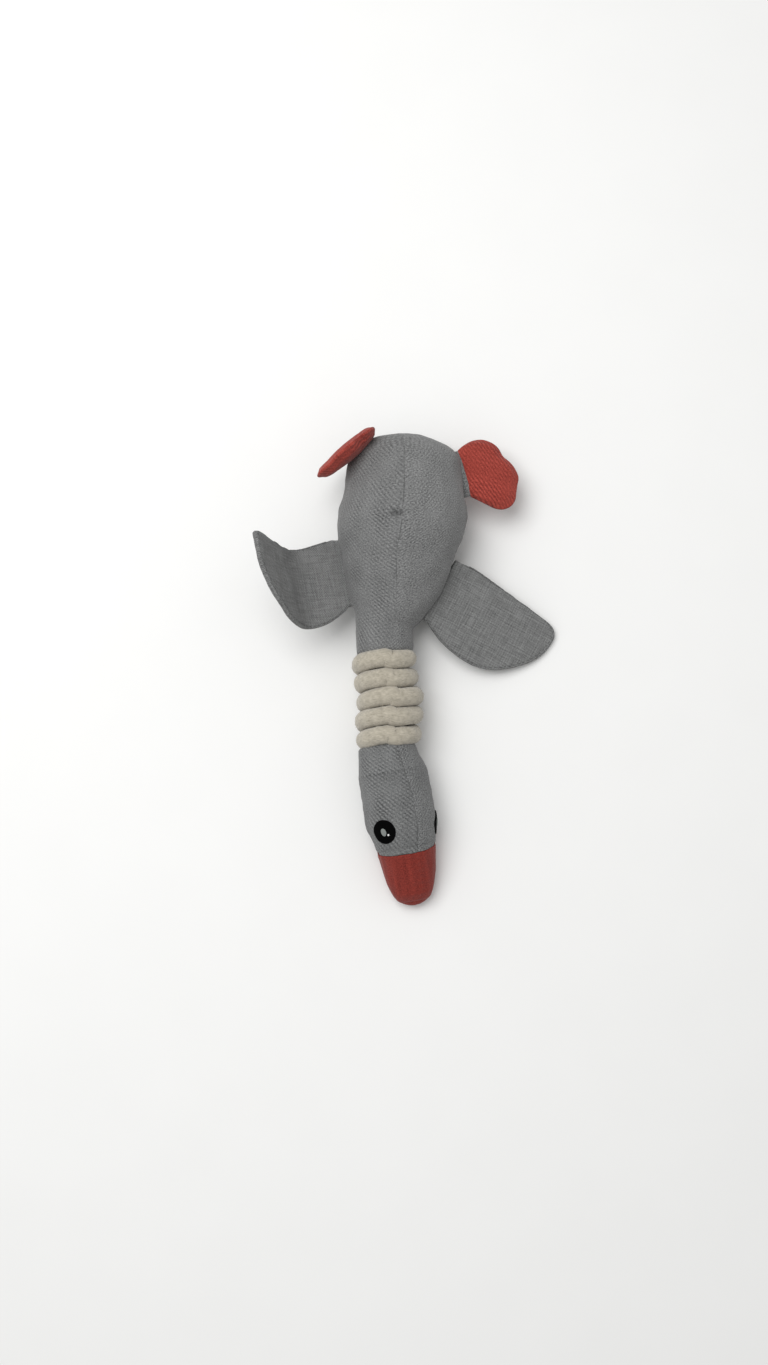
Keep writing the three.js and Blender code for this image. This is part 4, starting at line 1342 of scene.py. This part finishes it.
@dataclass
class Head:
    """Head and beak panels with embroidered eyes."""

    clothes: Wardrobe
    roll: float = 28.0
    beak_share: float = 0.43
    beak_bow: float = 0.042
    top_seam: Table = ((-124.6, 4.8), (-108.4, 5.6), (-101.3, 4.6), (-94.2, 3.3), (-85.7, 2.0), (-77.3, -1.3),
                       (-70.7, -3.2), (-64.2, -5.2), (-57.7, -7.1))
    panel_gap_share: float = 0.002
    eye_share: float = 0.58
    eye_spread: float = 60.0
    oval_depth: float = 0.7
    eye_ovals: tuple[Oval, ...] = (
        Oval("eye_patch_thread", "eye_black", "eye_black", (16.0, 16.0), 0.75, node="eye_patch"),
        Oval("eye_pupil_thread", "eye_grey", "eye_grey", (3.8, 5.2), 0.4, base=0.7, node="eye_pupil"),
        Oval("eye_glint", "glint", "eye_grey", (1.3, 1.3), 0.45, base=0.7, shift=(-2.9, -2.1)),
    )
    seed: int = 11
    form: StuffedForm = field(default_factory=lambda: StuffedForm(
        pivot=HEAD_PIVOT, heading=-1, turn=10.4, length=90.4, half_width=23.7, half_height=23, squareness=0.1,
        sink=0.5,
        widths=((0, 0), (0.035, 0.39), (0.08, 0.54), (0.14, 0.63), (0.22, 0.71), (0.34, 0.785), (0.45, 0.875),
                (0.56, 0.945), (0.62, 0.98), (0.7, 0.985), (0.79, 1.005), (0.86, 1), (0.92, 0.99),
                (1, 0.965)),
        heights=((0, 0), (0.05, 0.3), (0.14, 0.46), (0.28, 0.64), (0.4, 0.765), (0.6, 0.93), (0.8, 1),
                 (0.9, 0.98), (1, 0.96)),
        undersides=((0, 0.36), (0.04, 0.12), (0.1, 0.05), (0.24, 0), (0.82, 0), (0.92, 0.05), (1, 0.153)),
        drifts=((0, 0), (0.4, 0.03), (0.62, 0.025), (0.78, 0.03), (0.9, 0.03), (1, 0.03)),
        neck=((0, 22.8), (5, 21.6), (10, 20.4), (15, 19.6), (17.5, 18.6), (19.5, 15), (21.5, 11.3),
              (24, 10.2)),
        end_skew=1.0))

    def seam(self, share: Array) -> Array:
        """The angle of the head's upper seam, and of the beak's."""
        return self.form.seam_angle(self.top_seam, share)

    def covers(self) -> tuple[SewnSkin, SewnSkin]:
        """The sewn cloth of the head and of the beak, over one stuffing."""
        swell = Stuffing(self.form, (self.seam, lambda share: self.seam(share) + math.pi), most=1.4).swell()
        bow = (self.beak_share, self.beak_bow)
        shared = {"form": self.form, "seam_width": 1.0, "bow": bow, "swell": swell}
        return (SewnSkin(**shared, seam_depth=0.6, gap=0.03, deep=(0.5, 1.1)),
                SewnSkin(**shared, seam_depth=0.05, gap=0.01, unevenness=0.4))

    def panels(self, head: SewnSkin, tip: SewnSkin) -> list[bpy.types.Object]:
        """The four panels, sewn along the top, the underside and where the beak starts.

        Args:
            head: The head's sewn cloth.
            tip: The beak's sewn cloth.

        Returns:
            The panels.
        """
        made = []
        back, beak = self.beak_share + self.panel_gap_share, self.beak_share - self.panel_gap_share
        clothes = self.clothes
        plan = (
            ("head_left_panel", back, self.form.reach, 0.0, clothes.head_left, "grey_cloth"),
            ("head_right_panel", back, self.form.reach, -math.pi, clothes.head_right, "grey_cloth"),
            ("beak_left_panel", 0.0, beak, 0.0, clothes.beak_red, "beak_cloth"),
            ("beak_right_panel", 0.0, beak, -math.pi, clothes.beak_red, "beak_cloth"),
        )
        for node, start, end, shift, finish, slot in plan:
            sewn = head if start else tip
            piece = sewn.panel(f"{node}_cloth", (80, 110 if start else 60), start, end,
                               lambda share, shift=shift: self.seam(share) + shift,
                               lambda share, shift=shift: self.seam(share) + shift + math.pi, self.seed,
                               seam_ends=(start > 0, start == 0), grain=0.0 if shift == 0 else 1.0)
            Bench.dress(piece, finish, slot)
            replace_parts(piece, node)
            if start:
                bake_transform(piece)
            else:
                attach(piece, "head")
            made.append(piece)
        return made

    def disc(self, head: SewnSkin, side: Side, oval: Oval) -> bpy.types.Object:
        """One oval of an eye, a low closed cushion on the skin.

        Args:
            head: The cloth that it lies on.
            side: Which eye it is of.
            oval: Which oval.

        Returns:
            The oval.
        """
        form = self.form
        angle = math.pi / 2 - math.radians(self.roll) - side.value * math.radians(self.eye_spread)
        width, height, *_ = form.section(np.array([self.eye_share]))
        radius = float((width + height)[0] / 2)

        def spots(u: Array, v: Array) -> tuple[Array, Array]:
            """Places on the oval, in millimetres from the eye's middle."""
            around = 2 * math.pi * u
            out = np.sin(np.clip(v, 0, 1) * math.pi)
            over = oval.shift[0] + oval.size[0] / 2 * out * np.cos(around)
            return over, oval.shift[1] + oval.size[1] / 2 * out * np.sin(around)

        def place(u: Array, v: Array) -> Array:
            """The sheet's points, from shares across and along."""
            over, walk = spots(u, v)
            share, turn = self.eye_share + walk / form.length, angle + over / radius
            top = np.cos(v * math.pi)
            height = oval.base + np.where(top > 0, oval.lift, -self.oval_depth) * np.sqrt(np.abs(top))
            height = height + head.rise(share, turn, self.seed)
            return form.skin(share, turn) + form.outward(share, turn) * height[:, None] * MM

        def flat(u: Array, v: Array) -> Array:
            """Where those points are on the flat cloth, in metres."""
            return np.stack(spots(u, v), axis=1) * MM

        middle = form.skin(np.array([self.eye_share]), np.array([angle]))[0]
        piece = Bench.patch(f"{side.word}_{oval.word}", (40, 16), place, flat, middle)
        Bench.edit(piece, Bench.face_out)
        Bench.dress(piece, getattr(self.clothes, oval.finish), oval.slot)
        if oval.node:
            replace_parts(piece, f"{side.word}_{oval.node}")
        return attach(piece, "head")

    def build(self) -> list[bpy.types.Object]:
        """Makes the panels and the eyes.

        Returns:
            The pieces.
        """
        head, tip = self.covers()
        made = self.panels(head, tip)
        return made + [self.disc(head, side, oval) for side in Side for oval in self.eye_ovals]


@dataclass(frozen=True)
class Stitches:
    """Short straight stitches, each a thread that dips into the cloth at its ends."""

    length: float = 2.5
    gap: float = 0.9
    radius: float = 0.24
    dip: float = 0.9
    slimmest: float = 0.35
    margin: float = 0.04
    rings: int = 5
    sides: int = 6

    def row(self, name: str, line: Array, normal: Array, finish: bpy.types.Material) -> bpy.types.Object:
        """Stitches along a line.

        Args:
            name: The row's name.
            line: Points along it, in metres, one to a row.
            normal: The cloth's outward direction at each point.
            finish: The thread.

        Returns:
            The row as one piece.
        """
        walk = np.concatenate([[0], np.cumsum(np.linalg.norm(np.diff(line, axis=0), axis=1))]) / MM
        bulge = np.sin(math.pi * np.linspace(self.margin, 1 - self.margin, self.rings))
        lift = (self.radius * ((1 + self.dip) * bulge - self.dip))[:, None] * MM
        radius = self.radius * (self.slimmest + (1 - self.slimmest) * bulge) * MM
        points, faces = [], []
        angle = np.arange(self.sides) * 2 * math.pi / self.sides
        for start in np.arange(1.0, walk[-1] - self.length, self.length + self.gap):
            along = np.linspace(start, start + self.length, self.rings)
            centre, up = (np.stack([np.interp(along, walk, rows[:, i]) for i in range(3)], axis=1)
                          for rows in (line, normal))
            side = unit(np.cross(centre[-1] - centre[0], up))
            centre = centre + up * lift
            faces += tube_faces(self.rings, self.sides, len(points))
            for ring in range(self.rings):
                turned = up[ring] * np.cos(angle)[:, None] + side[ring] * np.sin(angle)[:, None]
                points.extend(centre[ring] + turned * radius[ring])
        piece = Bench.loose(name, np.array(points), faces)
        Bench.edit(piece, Bench.face_out)
        bpy.ops.object.shade_smooth()
        Bench.dress(piece, finish, "grey_cloth")
        return piece


@dataclass
class Limb:
    """A flat sewn limb on its hinge, bent along its reach."""

    side: Side
    hinge: tuple[float, float, float]
    facing: float
    root_length: float
    reach: float
    rim_shares: Table
    root_walk: float = 0.0
    inner_slope: float = 0.0
    outer_slope: float = 0.0
    crease_share: float = 0.37
    sweep: float = 0.0
    crease_span: tuple[float, float] = (0.6, 1.4)
    bend_steps: int = 24
    behind_share: float = 0.06
    root_crowding: float = 0.5
    edge_crowding: float = 0.25
    root_give: float = 1.1
    ripple_heights: tuple[float, float] = (0.3, 0.1)
    ripple_sizes: tuple[float, float] = (23.0, 7.0)
    ripple_start: float = 12.0
    stitched: tuple[float, float] = (0.06, 0.94)

    @property
    def pivot(self) -> Vector:
        """The hinge's place in metres."""
        return Vector(self.hinge) * MM

    @property
    def way(self) -> Vector:
        """A millimetre's step level and straight out from the hinge."""
        turn = math.radians(self.facing)
        return Vector((math.cos(turn), math.sin(turn), 0)) * MM

    def rim(self, across: Array) -> tuple[Array, Array]:
        """Where the pattern's edge is: out from the root and along it, in millimetres."""
        last = len(self.rim_shares) - 1
        outs = tuple((i / last, out) for i, (out, _) in enumerate(self.rim_shares))
        alongs = tuple((i / last, along) for i, (_, along) in enumerate(self.rim_shares))
        return read_shares(outs, across) * self.reach, (read_shares(alongs, across) - 0.5) * self.root_length

    def pattern(self, across: Array, out: Array, back: float) -> tuple[Array, Array]:
        """A place on the flat pattern: its walk out from the root and its place along it."""
        rim_out, rim_along = self.rim(across)
        root_along = self.root_length * (0.5 - across)
        walk = np.where(out < 0, back * out, rim_out * out)
        return walk + self.root_walk, root_along + (rim_along - root_along) * np.maximum(out, 0)

    def place(self, walk: Array, along: Array, height: Array) -> Array:
        """Points over the limb's bent middle surface.

        Args:
            walk: How far out from the root they are on the flat pattern, in millimetres.
            along: How far along the root.
            height: How far over the middle surface.

        Returns:
            The points in metres in the toy's frame, one to a row.
        """
        steps = self.bend_steps
        first, last = (share * self.crease_share for share in self.crease_span)
        out, rise = np.zeros_like(walk), np.zeros_like(walk)

        def slope_at(distance: Array) -> Array:
            """The limb's slope at a distance out from the root."""
            bent = smooth(distance / self.reach, first, last)
            return np.radians(self.inner_slope + (self.outer_slope - self.inner_slope) * bent)

        for i in range(steps):
            slope = slope_at(walk * (i + 0.5) / steps)
            out = out + np.cos(slope) * walk / steps
            rise = rise + np.sin(slope) * walk / steps
        slope = slope_at(walk)
        swept = self.side.value * (along + self.sweep * (walk / self.reach) ** 2)
        x, z = out - np.sin(slope) * height, rise + np.cos(slope) * height
        turn = math.radians(self.facing)
        over = self.hinge[0] + x * math.cos(turn) - swept * math.sin(turn)
        walked = self.hinge[1] + x * math.sin(turn) + swept * math.cos(turn)
        return np.stack([over, walked, self.hinge[2] + z], axis=1) * MM

    def ripple(self, walk: Array, along: Array, seed: int) -> Array:
        """The soft waves of the limb, which both its cloths share."""
        spot = np.stack([walk, along, 0 * walk], axis=1)
        broad, fine = (height * lumps(spot, size, seed + later)
                       for height, size, later in zip(self.ripple_heights, self.ripple_sizes, (0, 3)))
        return (broad + fine) * smooth(walk, 0, self.ripple_start)

    def stitches(self, name: str, layer: Layer, inset: float, height: float, seed: int,
                 finish: bpy.types.Material) -> bpy.types.Object:
        """A row of stitches along the edge of one cloth.

        Args:
            name: The row's name.
            layer: The cloth that it lies on.
            inset: How far in from the edge it runs, in millimetres.
            height: How far the cloth stands from the limb's middle there.
            seed: Picks the cloth's unevenness.
            finish: The thread.

        Returns:
            The row, one closed shape to each stitch.
        """
        across = np.linspace(*self.stitched, 500)
        rim_out, _ = self.rim(across)
        walk, along = self.pattern(across, 1 - inset / rim_out, 0.0)
        level = self.ripple(walk, along, seed) + layer.value * height
        line = self.place(walk, along, level)
        normal = (self.place(walk, along, level + 1) - line) / MM * layer.value
        return Stitches().row(name, line, normal, finish)

    def shrunk(self, share: float) -> "Limb":
        """The same limb cut smaller, with its crease where it was."""
        return replace(self, reach=self.reach * share, root_length=self.root_length * share, root_walk=2.5,
                       crease_share=self.crease_share / share, sweep=self.sweep * share**2)

    def cloth(self, name: str, layer: Layer, grid: Grid, back: float, seed: int, height_at: Height,
              thickness: float = 0.9) -> bpy.types.Object:
        """One of the limb's two cloths.

        Args:
            name: The piece's name.
            layer: Which of the two.
            grid: Faces across and out.
            back: How far it runs back behind the hinge, in millimetres.
            seed: Picks its unevenness.
            height_at: Gives its height from its shares out and across and its distance from the edge.
            thickness: Of the cloth, in millimetres.

        Returns:
            The cloth as a closed shell.
        """
        behind = -self.behind_share

        def spread(u: Array, v: Array) -> tuple[Array, Array, Array, Array]:
            """Shares and places on the flat pattern, from shares across and out."""
            across = crowd(u, self.root_crowding)
            out = behind + (1 - behind) * (v + self.edge_crowding * np.sin(math.pi * v) / math.pi)
            out = np.where(v >= 1, 1, out)
            walk, along = self.pattern(across, np.where(out < 0, -out / behind, out), back)
            return across, np.maximum(out, 0), walk, along

        def place(u: Array, v: Array) -> Array:
            """The sheet's points, from shares across and along."""
            across, out, walk, along = spread(u, v)
            from_root = np.minimum(across, 1 - across) * self.root_length * self.root_give
            edge = np.minimum((1 - out) * self.rim(across)[0], from_root)
            height = self.ripple(walk, along, seed) + layer.value * height_at(out, across, edge)
            return self.place(walk, along, height)

        def flat(u: Array, v: Array) -> Array:
            """Where those points are on the flat cloth, in metres."""
            _, _, walk, along = spread(u, v)
            return np.stack([along, walk], axis=1) * MM

        far = np.array([self.reach * 0.35])
        inside = self.place(far, 0 * far, far * 0 - FAR_INSIDE * layer.value)[0]
        piece = Bench.patch(name, grid, place, flat, inside)
        Bench.thicken(piece, thickness * MM)
        return piece

    def flat_size(self) -> tuple[float, float, float]:
        """The cut's width, length and area, in metres and square metres."""
        rim_out, rim_along = self.rim(np.linspace(0, 1, 200))
        over = np.concatenate([[0], rim_out, [0]])
        along = np.concatenate([[self.root_length / 2], rim_along, [-self.root_length / 2]])
        area = abs(float((over * np.roll(along, -1) - along * np.roll(over, -1)).sum())) / 2
        return float(np.ptp(over)) * MM, float(np.ptp(along)) * MM, area * MM * MM


# A rim goes round a limb's edge in places (out from the root, along it), shares of its reach and root length.
WING_RIM: Table = (
    (0.03, 1.012), (0.17, 1.02), (0.36, 0.99), (0.56, 0.95), (0.74, 0.91), (0.92, 0.85), (0.99, 0.74),
    (1, 0.6), (0.98, 0.4), (0.91, 0.19), (0.8, 0), (0.67, -0.15), (0.53, -0.22), (0.38, -0.22),
    (0.22, -0.17), (0.09, -0.08), (0.03, -0.035))
CURLED_WING_RIM: Table = (
    (0.03, 1.012), (0.17, 0.96), (0.36, 0.89), (0.56, 0.87), (0.74, 0.885), (0.91, 0.91), (0.99, 0.87),
    (1, 0.66), (0.98, 0.42), (0.91, 0.19), (0.8, 0), (0.67, -0.16), (0.53, -0.25), (0.38, -0.27),
    (0.22, -0.22), (0.09, -0.11), (0.03, -0.035))
FOOT_RIM: Table = (
    (0.04, 1.035), (0.16, 1.1), (0.35, 1.15), (0.54, 1.12), (0.7, 1), (0.79, 0.84), (0.83, 0.66),
    (0.93, 0.49), (0.99, 0.3), (1, 0.12), (0.93, -0.05), (0.87, -0.2), (0.82, -0.33), (0.71, -0.44),
    (0.56, -0.47), (0.42, -0.42), (0.26, -0.27), (0.12, -0.13), (0.04, -0.055))


@dataclass
class Wing:
    """Two linen cloths sewn round their edge, with an edge stitch."""

    clothes: Wardrobe
    limb: Limb
    stitch_inset: float = 2.3
    half_thickness: float = 1.75
    edge_width: float = 1.6
    groove_depth: float = 0.5
    groove_width: float = 0.5
    film_share: float = 0.86
    crumple_heights: tuple[float, float] = (0.14, 0.08)
    crumple_sizes: tuple[float, float] = (11.0, 5.0)
    crumple_seed: int = 61
    seed: int = 31

    def height(self, out: Array, across: Array, edge: Array) -> Array:
        """How far a cloth's outside stands from the wing's middle."""
        groove = self.groove_depth * bell(edge - self.stitch_inset, self.groove_width)
        full = SEAM_EDGE + (self.half_thickness - SEAM_EDGE) * rounded(edge / self.edge_width)
        return full - groove * smooth(out, 0.02, 0.08)

    def build(self) -> list[bpy.types.Object]:
        """Makes the two cloths, their edge stitches and the sheet between them.

        Returns:
            The pieces.
        """
        word = self.limb.side.word
        wide, long, area = self.limb.flat_size()
        made = []
        for layer in Layer:
            node = f"{word}_wing_{layer.word}_cloth"
            piece = self.limb.cloth(f"{node}_linen", layer, (130, 76), 4.0, self.seed, self.height)
            Bench.dress(piece, self.clothes.linen, "grey_cloth")
            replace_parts(piece, node)
            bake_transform(piece)
            made.append(piece)
            row = self.limb.stitches(f"{word}_wing_{layer.word}_stitches", layer, self.stitch_inset,
                                     self.half_thickness - self.groove_depth, self.seed, self.clothes.thread)
            made.append(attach(row, f"{word}_wing"))
        made.append(self.film())
        return made

    def film(self) -> bpy.types.Object:
        """Makes the crumpled sheet between the cloths.

        Returns:
            The sheet.
        """
        small = self.limb.shrunk(self.film_share)
        wide, long, area = small.flat_size()

        def crumple(out: Array, across: Array, edge: Array) -> Array:
            """How far the sheet stands from the limb's middle."""
            spot = np.stack([out * small.reach, across * small.root_length, 0 * out], axis=1)
            broad, fine = (height * lumps(spot, size, self.crumple_seed + later)
                           for height, size, later in zip(self.crumple_heights, self.crumple_sizes, (0, 1)))
            return np.abs(broad) + fine

        word = self.limb.side.word
        piece = small.cloth(f"{word}_wing_crinkle_film", Layer.UPPER, (70, 50), 0.1, self.seed, crumple,
                            thickness=0.1)
        Bench.dress(piece, self.clothes.film, "crinkle_foil")
        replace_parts(piece, f"{word}_wing_crinkle_sheet")
        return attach(piece, f"{word}_wing")


@dataclass
class Foot:
    """A padded red foot on its short grey cuff."""

    clothes: Wardrobe
    limb: Limb
    cuff_length: float = 0.6
    cuff_half: float = 2.6
    cuff_back: float = 4.0
    cuff_lap: float = 0.4
    cuff_flare: float = 0.12
    cuff_girth: float = 4.4
    cuff_roundness: float = 0.7
    fullness: float = 3.2
    upper_fullness: float = 3.2
    edge_width: float = 2.0
    edge_height: float = 1.15
    full_from: float = 5.0
    tapers: tuple[float, float] = (0.5, 1.1)
    seed: int = 41

    def height(self, layer: Layer, out: Array, across: Array, edge: Array) -> Array:
        """How far a cloth's outside stands from the foot's middle.

        Args:
            layer: The cloth.
            out: Shares out from the root.
            across: Shares across the pattern.
            edge: Distances from the edge, in millimetres.

        Returns:
            The distance at each place, in millimetres.
        """
        crown = np.sqrt(np.clip(1 - (2 * out - 1) ** 2, 0, 1))
        full = self.upper_fullness if layer is Layer.UPPER else self.fullness
        blunt, pointed = self.tapers
        taper = np.clip(np.sin(math.pi * across), 0, 1) ** (blunt if full == self.fullness else pointed)
        edge_rise = self.edge_height * rounded(edge / self.edge_width)
        return SEAM_EDGE + edge_rise + full * (crown * taper) * smooth(edge, 0, self.full_from)

    def cuff(self) -> bpy.types.Object:
        """Makes the grey cuff, a flattened tube that starts inside the body's seam.

        Returns:
            The cuff.
        """
        limb = self.limb
        half = limb.root_length / 2 + self.cuff_lap
        length = self.cuff_length + (self.cuff_back + self.cuff_lap)

        def place(u: Array, v: Array) -> Array:
            """The sheet's points, from shares across and along."""
            angle = 2 * math.pi * u
            flare = 1 + self.cuff_flare * np.sin(math.pi * v)
            height = self.cuff_half * flare * powered(np.sin(angle), self.cuff_roundness)
            return limb.place(length * v - self.cuff_back, half * np.cos(angle), height)

        def flat(u: Array, v: Array) -> Array:
            """Where those points are on the flat cloth, in metres."""
            return np.stack([u * self.cuff_girth * half, v * length], axis=1) * MM

        centre = limb.place(np.zeros(1), np.zeros(1), np.zeros(1))[0]
        piece = Bench.patch(f"{limb.side.word}_leg_cuff_cloth", (64, 14), place, flat, centre)
        Bench.thicken(piece, THIN_CLOTH * MM)
        Bench.dress(piece, self.clothes.back_right, "grey_cloth")
        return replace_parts(piece, f"{limb.side.word}_leg_cuff")

    def build(self) -> list[bpy.types.Object]:
        """Makes the cuff and the foot's two cloths.

        Returns:
            The three pieces.
        """
        limb, word = self.limb, self.limb.side.word
        cuff = self.cuff()
        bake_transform(cuff)
        made = [cuff]
        places = limb.place(np.array([0.0, 10.0]), np.zeros(2), np.zeros(2))
        for layer in Layer:
            node = f"{word}_foot_{layer.word}_cloth"
            piece = limb.cloth(f"{node}_red", layer, (110, 56), 1.2, self.seed,
                               lambda out, across, edge, layer=layer: self.height(layer, out, across, edge))
            Bench.dress(piece, self.clothes.foot_red, "foot_cloth")
            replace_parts(piece, node)
            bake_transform(piece)
            made.append(piece)
        return made


@dataclass
class Inside:
    """The wadding and the squeaker, which the cloth hides."""

    clothes: Wardrobe
    grain: float = 1.6
    tuft_height: float = 0.2
    tuft_size: float = 5.0

    def wadding(self, node: str, body: str, slack: float) -> bpy.types.Object:
        """Wadding in the room of one filling: its solid's shape, gone over with soft tufts.

        Args:
            node: The filling's solid.
            body: What it moves with.
            slack: How far it stays in from its room's wall, in millimetres.

        Returns:
            The wadding.
        """
        source = frame["nodes"][node]
        piece = source.copy()
        piece.data = source.data.copy()
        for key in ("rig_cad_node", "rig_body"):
            if key in piece:
                del piece[key]
        piece.parent = None
        piece.name = f"{node}_wadding"
        piece.data.name = piece.name
        bpy.context.scene.collection.objects.link(piece)
        Bench.edit(piece, Bench.weld)
        remesh = piece.modifiers.new("even", "REMESH")
        remesh.mode = "VOXEL"
        remesh.voxel_size = self.grain * MM
        bpy.ops.object.modifier_apply(modifier=remesh.name)
        mesh = piece.data
        points, normals = (read_vectors(mesh.vertices, kind) for kind in ("co", "normal"))
        tuft = slack + self.tuft_height * lumps(points, self.tuft_size * MM, 51)
        mesh.vertices.foreach_set("co", (points - normals * np.maximum(tuft, 0)[:, None] * MM).ravel())
        mesh.update()
        bpy.ops.object.shade_smooth()
        Bench.dress(piece, self.clothes.wadding, "stuffing")
        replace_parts(piece, node)
        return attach(piece, body)

    def build(self) -> list[bpy.types.Object]:
        """Makes the wadding and dresses the rigid pieces.

        Returns:
            The wadding.
        """
        rigid = {
            "squeaker_bulb": self.clothes.rubber, "squeaker_tube": self.clothes.plastic,
            "squeaker_reed": self.clothes.plastic,
        }
        for node, finish in rigid.items():
            held = frame["nodes"][node]
            held.data.materials.clear()
            held.data.materials.append(finish)
        rooms = (
            ("body_stuffing", "body", 1.7), ("neck_stuffing", "neck", 0.5), ("head_stuffing", "head", 1.7),
            ("left_foot_padding", "left_foot", 0.5), ("right_foot_padding", "right_foot", 0.5),
        )
        return [self.wadding(node, body, slack) for node, body, slack in rooms]


@dataclass
class Studio:
    """Pale floor, soft light and the camera over the toy."""

    target: tuple[float, float, float] = (-16.94, -11.39, 25.0)
    distance: float = 904.0
    tilt: float = 5.6
    focal_pixels: float = 1345.0
    long_side_pixels: float = 1365.0
    sensor: float = 36.0
    floor_size: float = 6.0
    mottle_size: float = 0.05
    world_strength: float = 0.62
    lamp_place: tuple[float, float, float] = (-0.45, 0.35, 1.25)
    lamp_size: float = 0.9
    lamp_energy: float = 14.0

    def floor(self) -> None:
        """A wide pale sheet of paper."""
        bpy.ops.object.select_all(action="DESELECT")
        bpy.ops.mesh.primitive_plane_add(size=self.floor_size)
        paper = bpy.context.object
        paper.name = "floor"
        board = NodeBoard("pale_paper")
        place = board.node("ShaderNodeTexCoord").outputs["Object"]
        mottle = board.noise(place, EVEN, self.mottle_size)
        board.colour(mottle, (0.78, 0.78, 0.77), (0.8, 0.8, 0.79))
        board.plain(roughness=0.95, specular_ior_level=0.1)
        paper.data.materials.append(board.material)

    def light(self) -> None:
        """An even world and one broad lamp."""
        world = bpy.data.worlds.new("studio")
        world.use_nodes = True
        background = world.node_tree.nodes["Background"]
        background.inputs["Color"].default_value = (1, 1, 1, 1)
        background.inputs["Strength"].default_value = self.world_strength
        bpy.context.scene.world = world
        bpy.ops.object.light_add(type="AREA", location=self.lamp_place)
        lamp = bpy.context.object
        lamp.name = "softbox"
        lamp.data.size = self.lamp_size
        lamp.data.energy = self.lamp_energy
        aim = Vector((0, 0, 0.02)) - lamp.location
        lamp.rotation_euler = aim.to_track_quat("-Z", "Y").to_euler()

    def camera(self) -> None:
        """The camera at the photograph's angle."""
        data = bpy.data.cameras.new("camera")
        data.sensor_width = self.sensor
        data.lens = self.sensor * self.focal_pixels / self.long_side_pixels
        data.clip_start, data.clip_end = 0.01, 10
        camera = bpy.data.objects.new("camera", data)
        bpy.context.scene.collection.objects.link(camera)
        tilt = math.radians(self.tilt)
        back = Vector((0, -math.sin(tilt), math.cos(tilt)))
        camera.location = (Vector(self.target) + back * self.distance) * MM
        camera.rotation_mode = "QUATERNION"
        camera.rotation_quaternion = (-back).to_track_quat("-Z", "Y")
        bpy.context.scene.camera = camera

    def build(self) -> None:
        """Sets the stage."""
        self.floor()
        self.light()
        self.camera()
        bpy.context.scene.view_settings.view_transform = "Standard"


def limbs() -> tuple[Limb, Limb, Limb, Limb]:
    """The wings' and feet's places and bends.

    Returns:
        The left wing, the right wing, the left foot and the right foot.
    """
    wing = {"root_length": 46.5, "reach": 83.4}
    foot = {"root_length": 31.7, "reach": 36.3, "rim_shares": FOOT_RIM}
    return (
        Limb(Side.LEFT, (-45.38, 62.27, 27.0), math.degrees(-2.9388), rim_shares=CURLED_WING_RIM, **wing,
             inner_slope=18, outer_slope=68, sweep=10),
        Limb(Side.RIGHT, (23.70, 50.28, 22.0), math.degrees(-0.5142), rim_shares=WING_RIM, **wing,
             inner_slope=-13.5, outer_slope=-13.5, sweep=3.5),
        Limb(Side.LEFT, (-39.62, 145.92, 27.9), 132, **foot, inner_slope=96, outer_slope=96),
        Limb(Side.RIGHT, (36.97, 131.01, 27.9), 15.7, **foot, inner_slope=-6, outer_slope=-6),
    )


def main() -> None:
    """Dresses the toy and sets the stage."""
    logging.basicConfig(level=logging.INFO, format="%(name)s %(message)s")
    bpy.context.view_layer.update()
    Studio().build()
    clothes = Wardrobe.fill()
    left_wing, right_wing, left_foot, right_foot = limbs()
    makers = (
        Body(clothes), Neck(clothes), Head(clothes), Wing(clothes, left_wing), Wing(clothes, right_wing),
        Foot(clothes, left_foot, upper_fullness=5.0), Foot(clothes, right_foot), Inside(clothes),
    )
    for maker in makers:
        made = maker.build()
        log.info("%s: %d pieces", type(maker).__name__, len(made))
    bpy.context.view_layer.update()


if __name__ == "__main__":
    main()
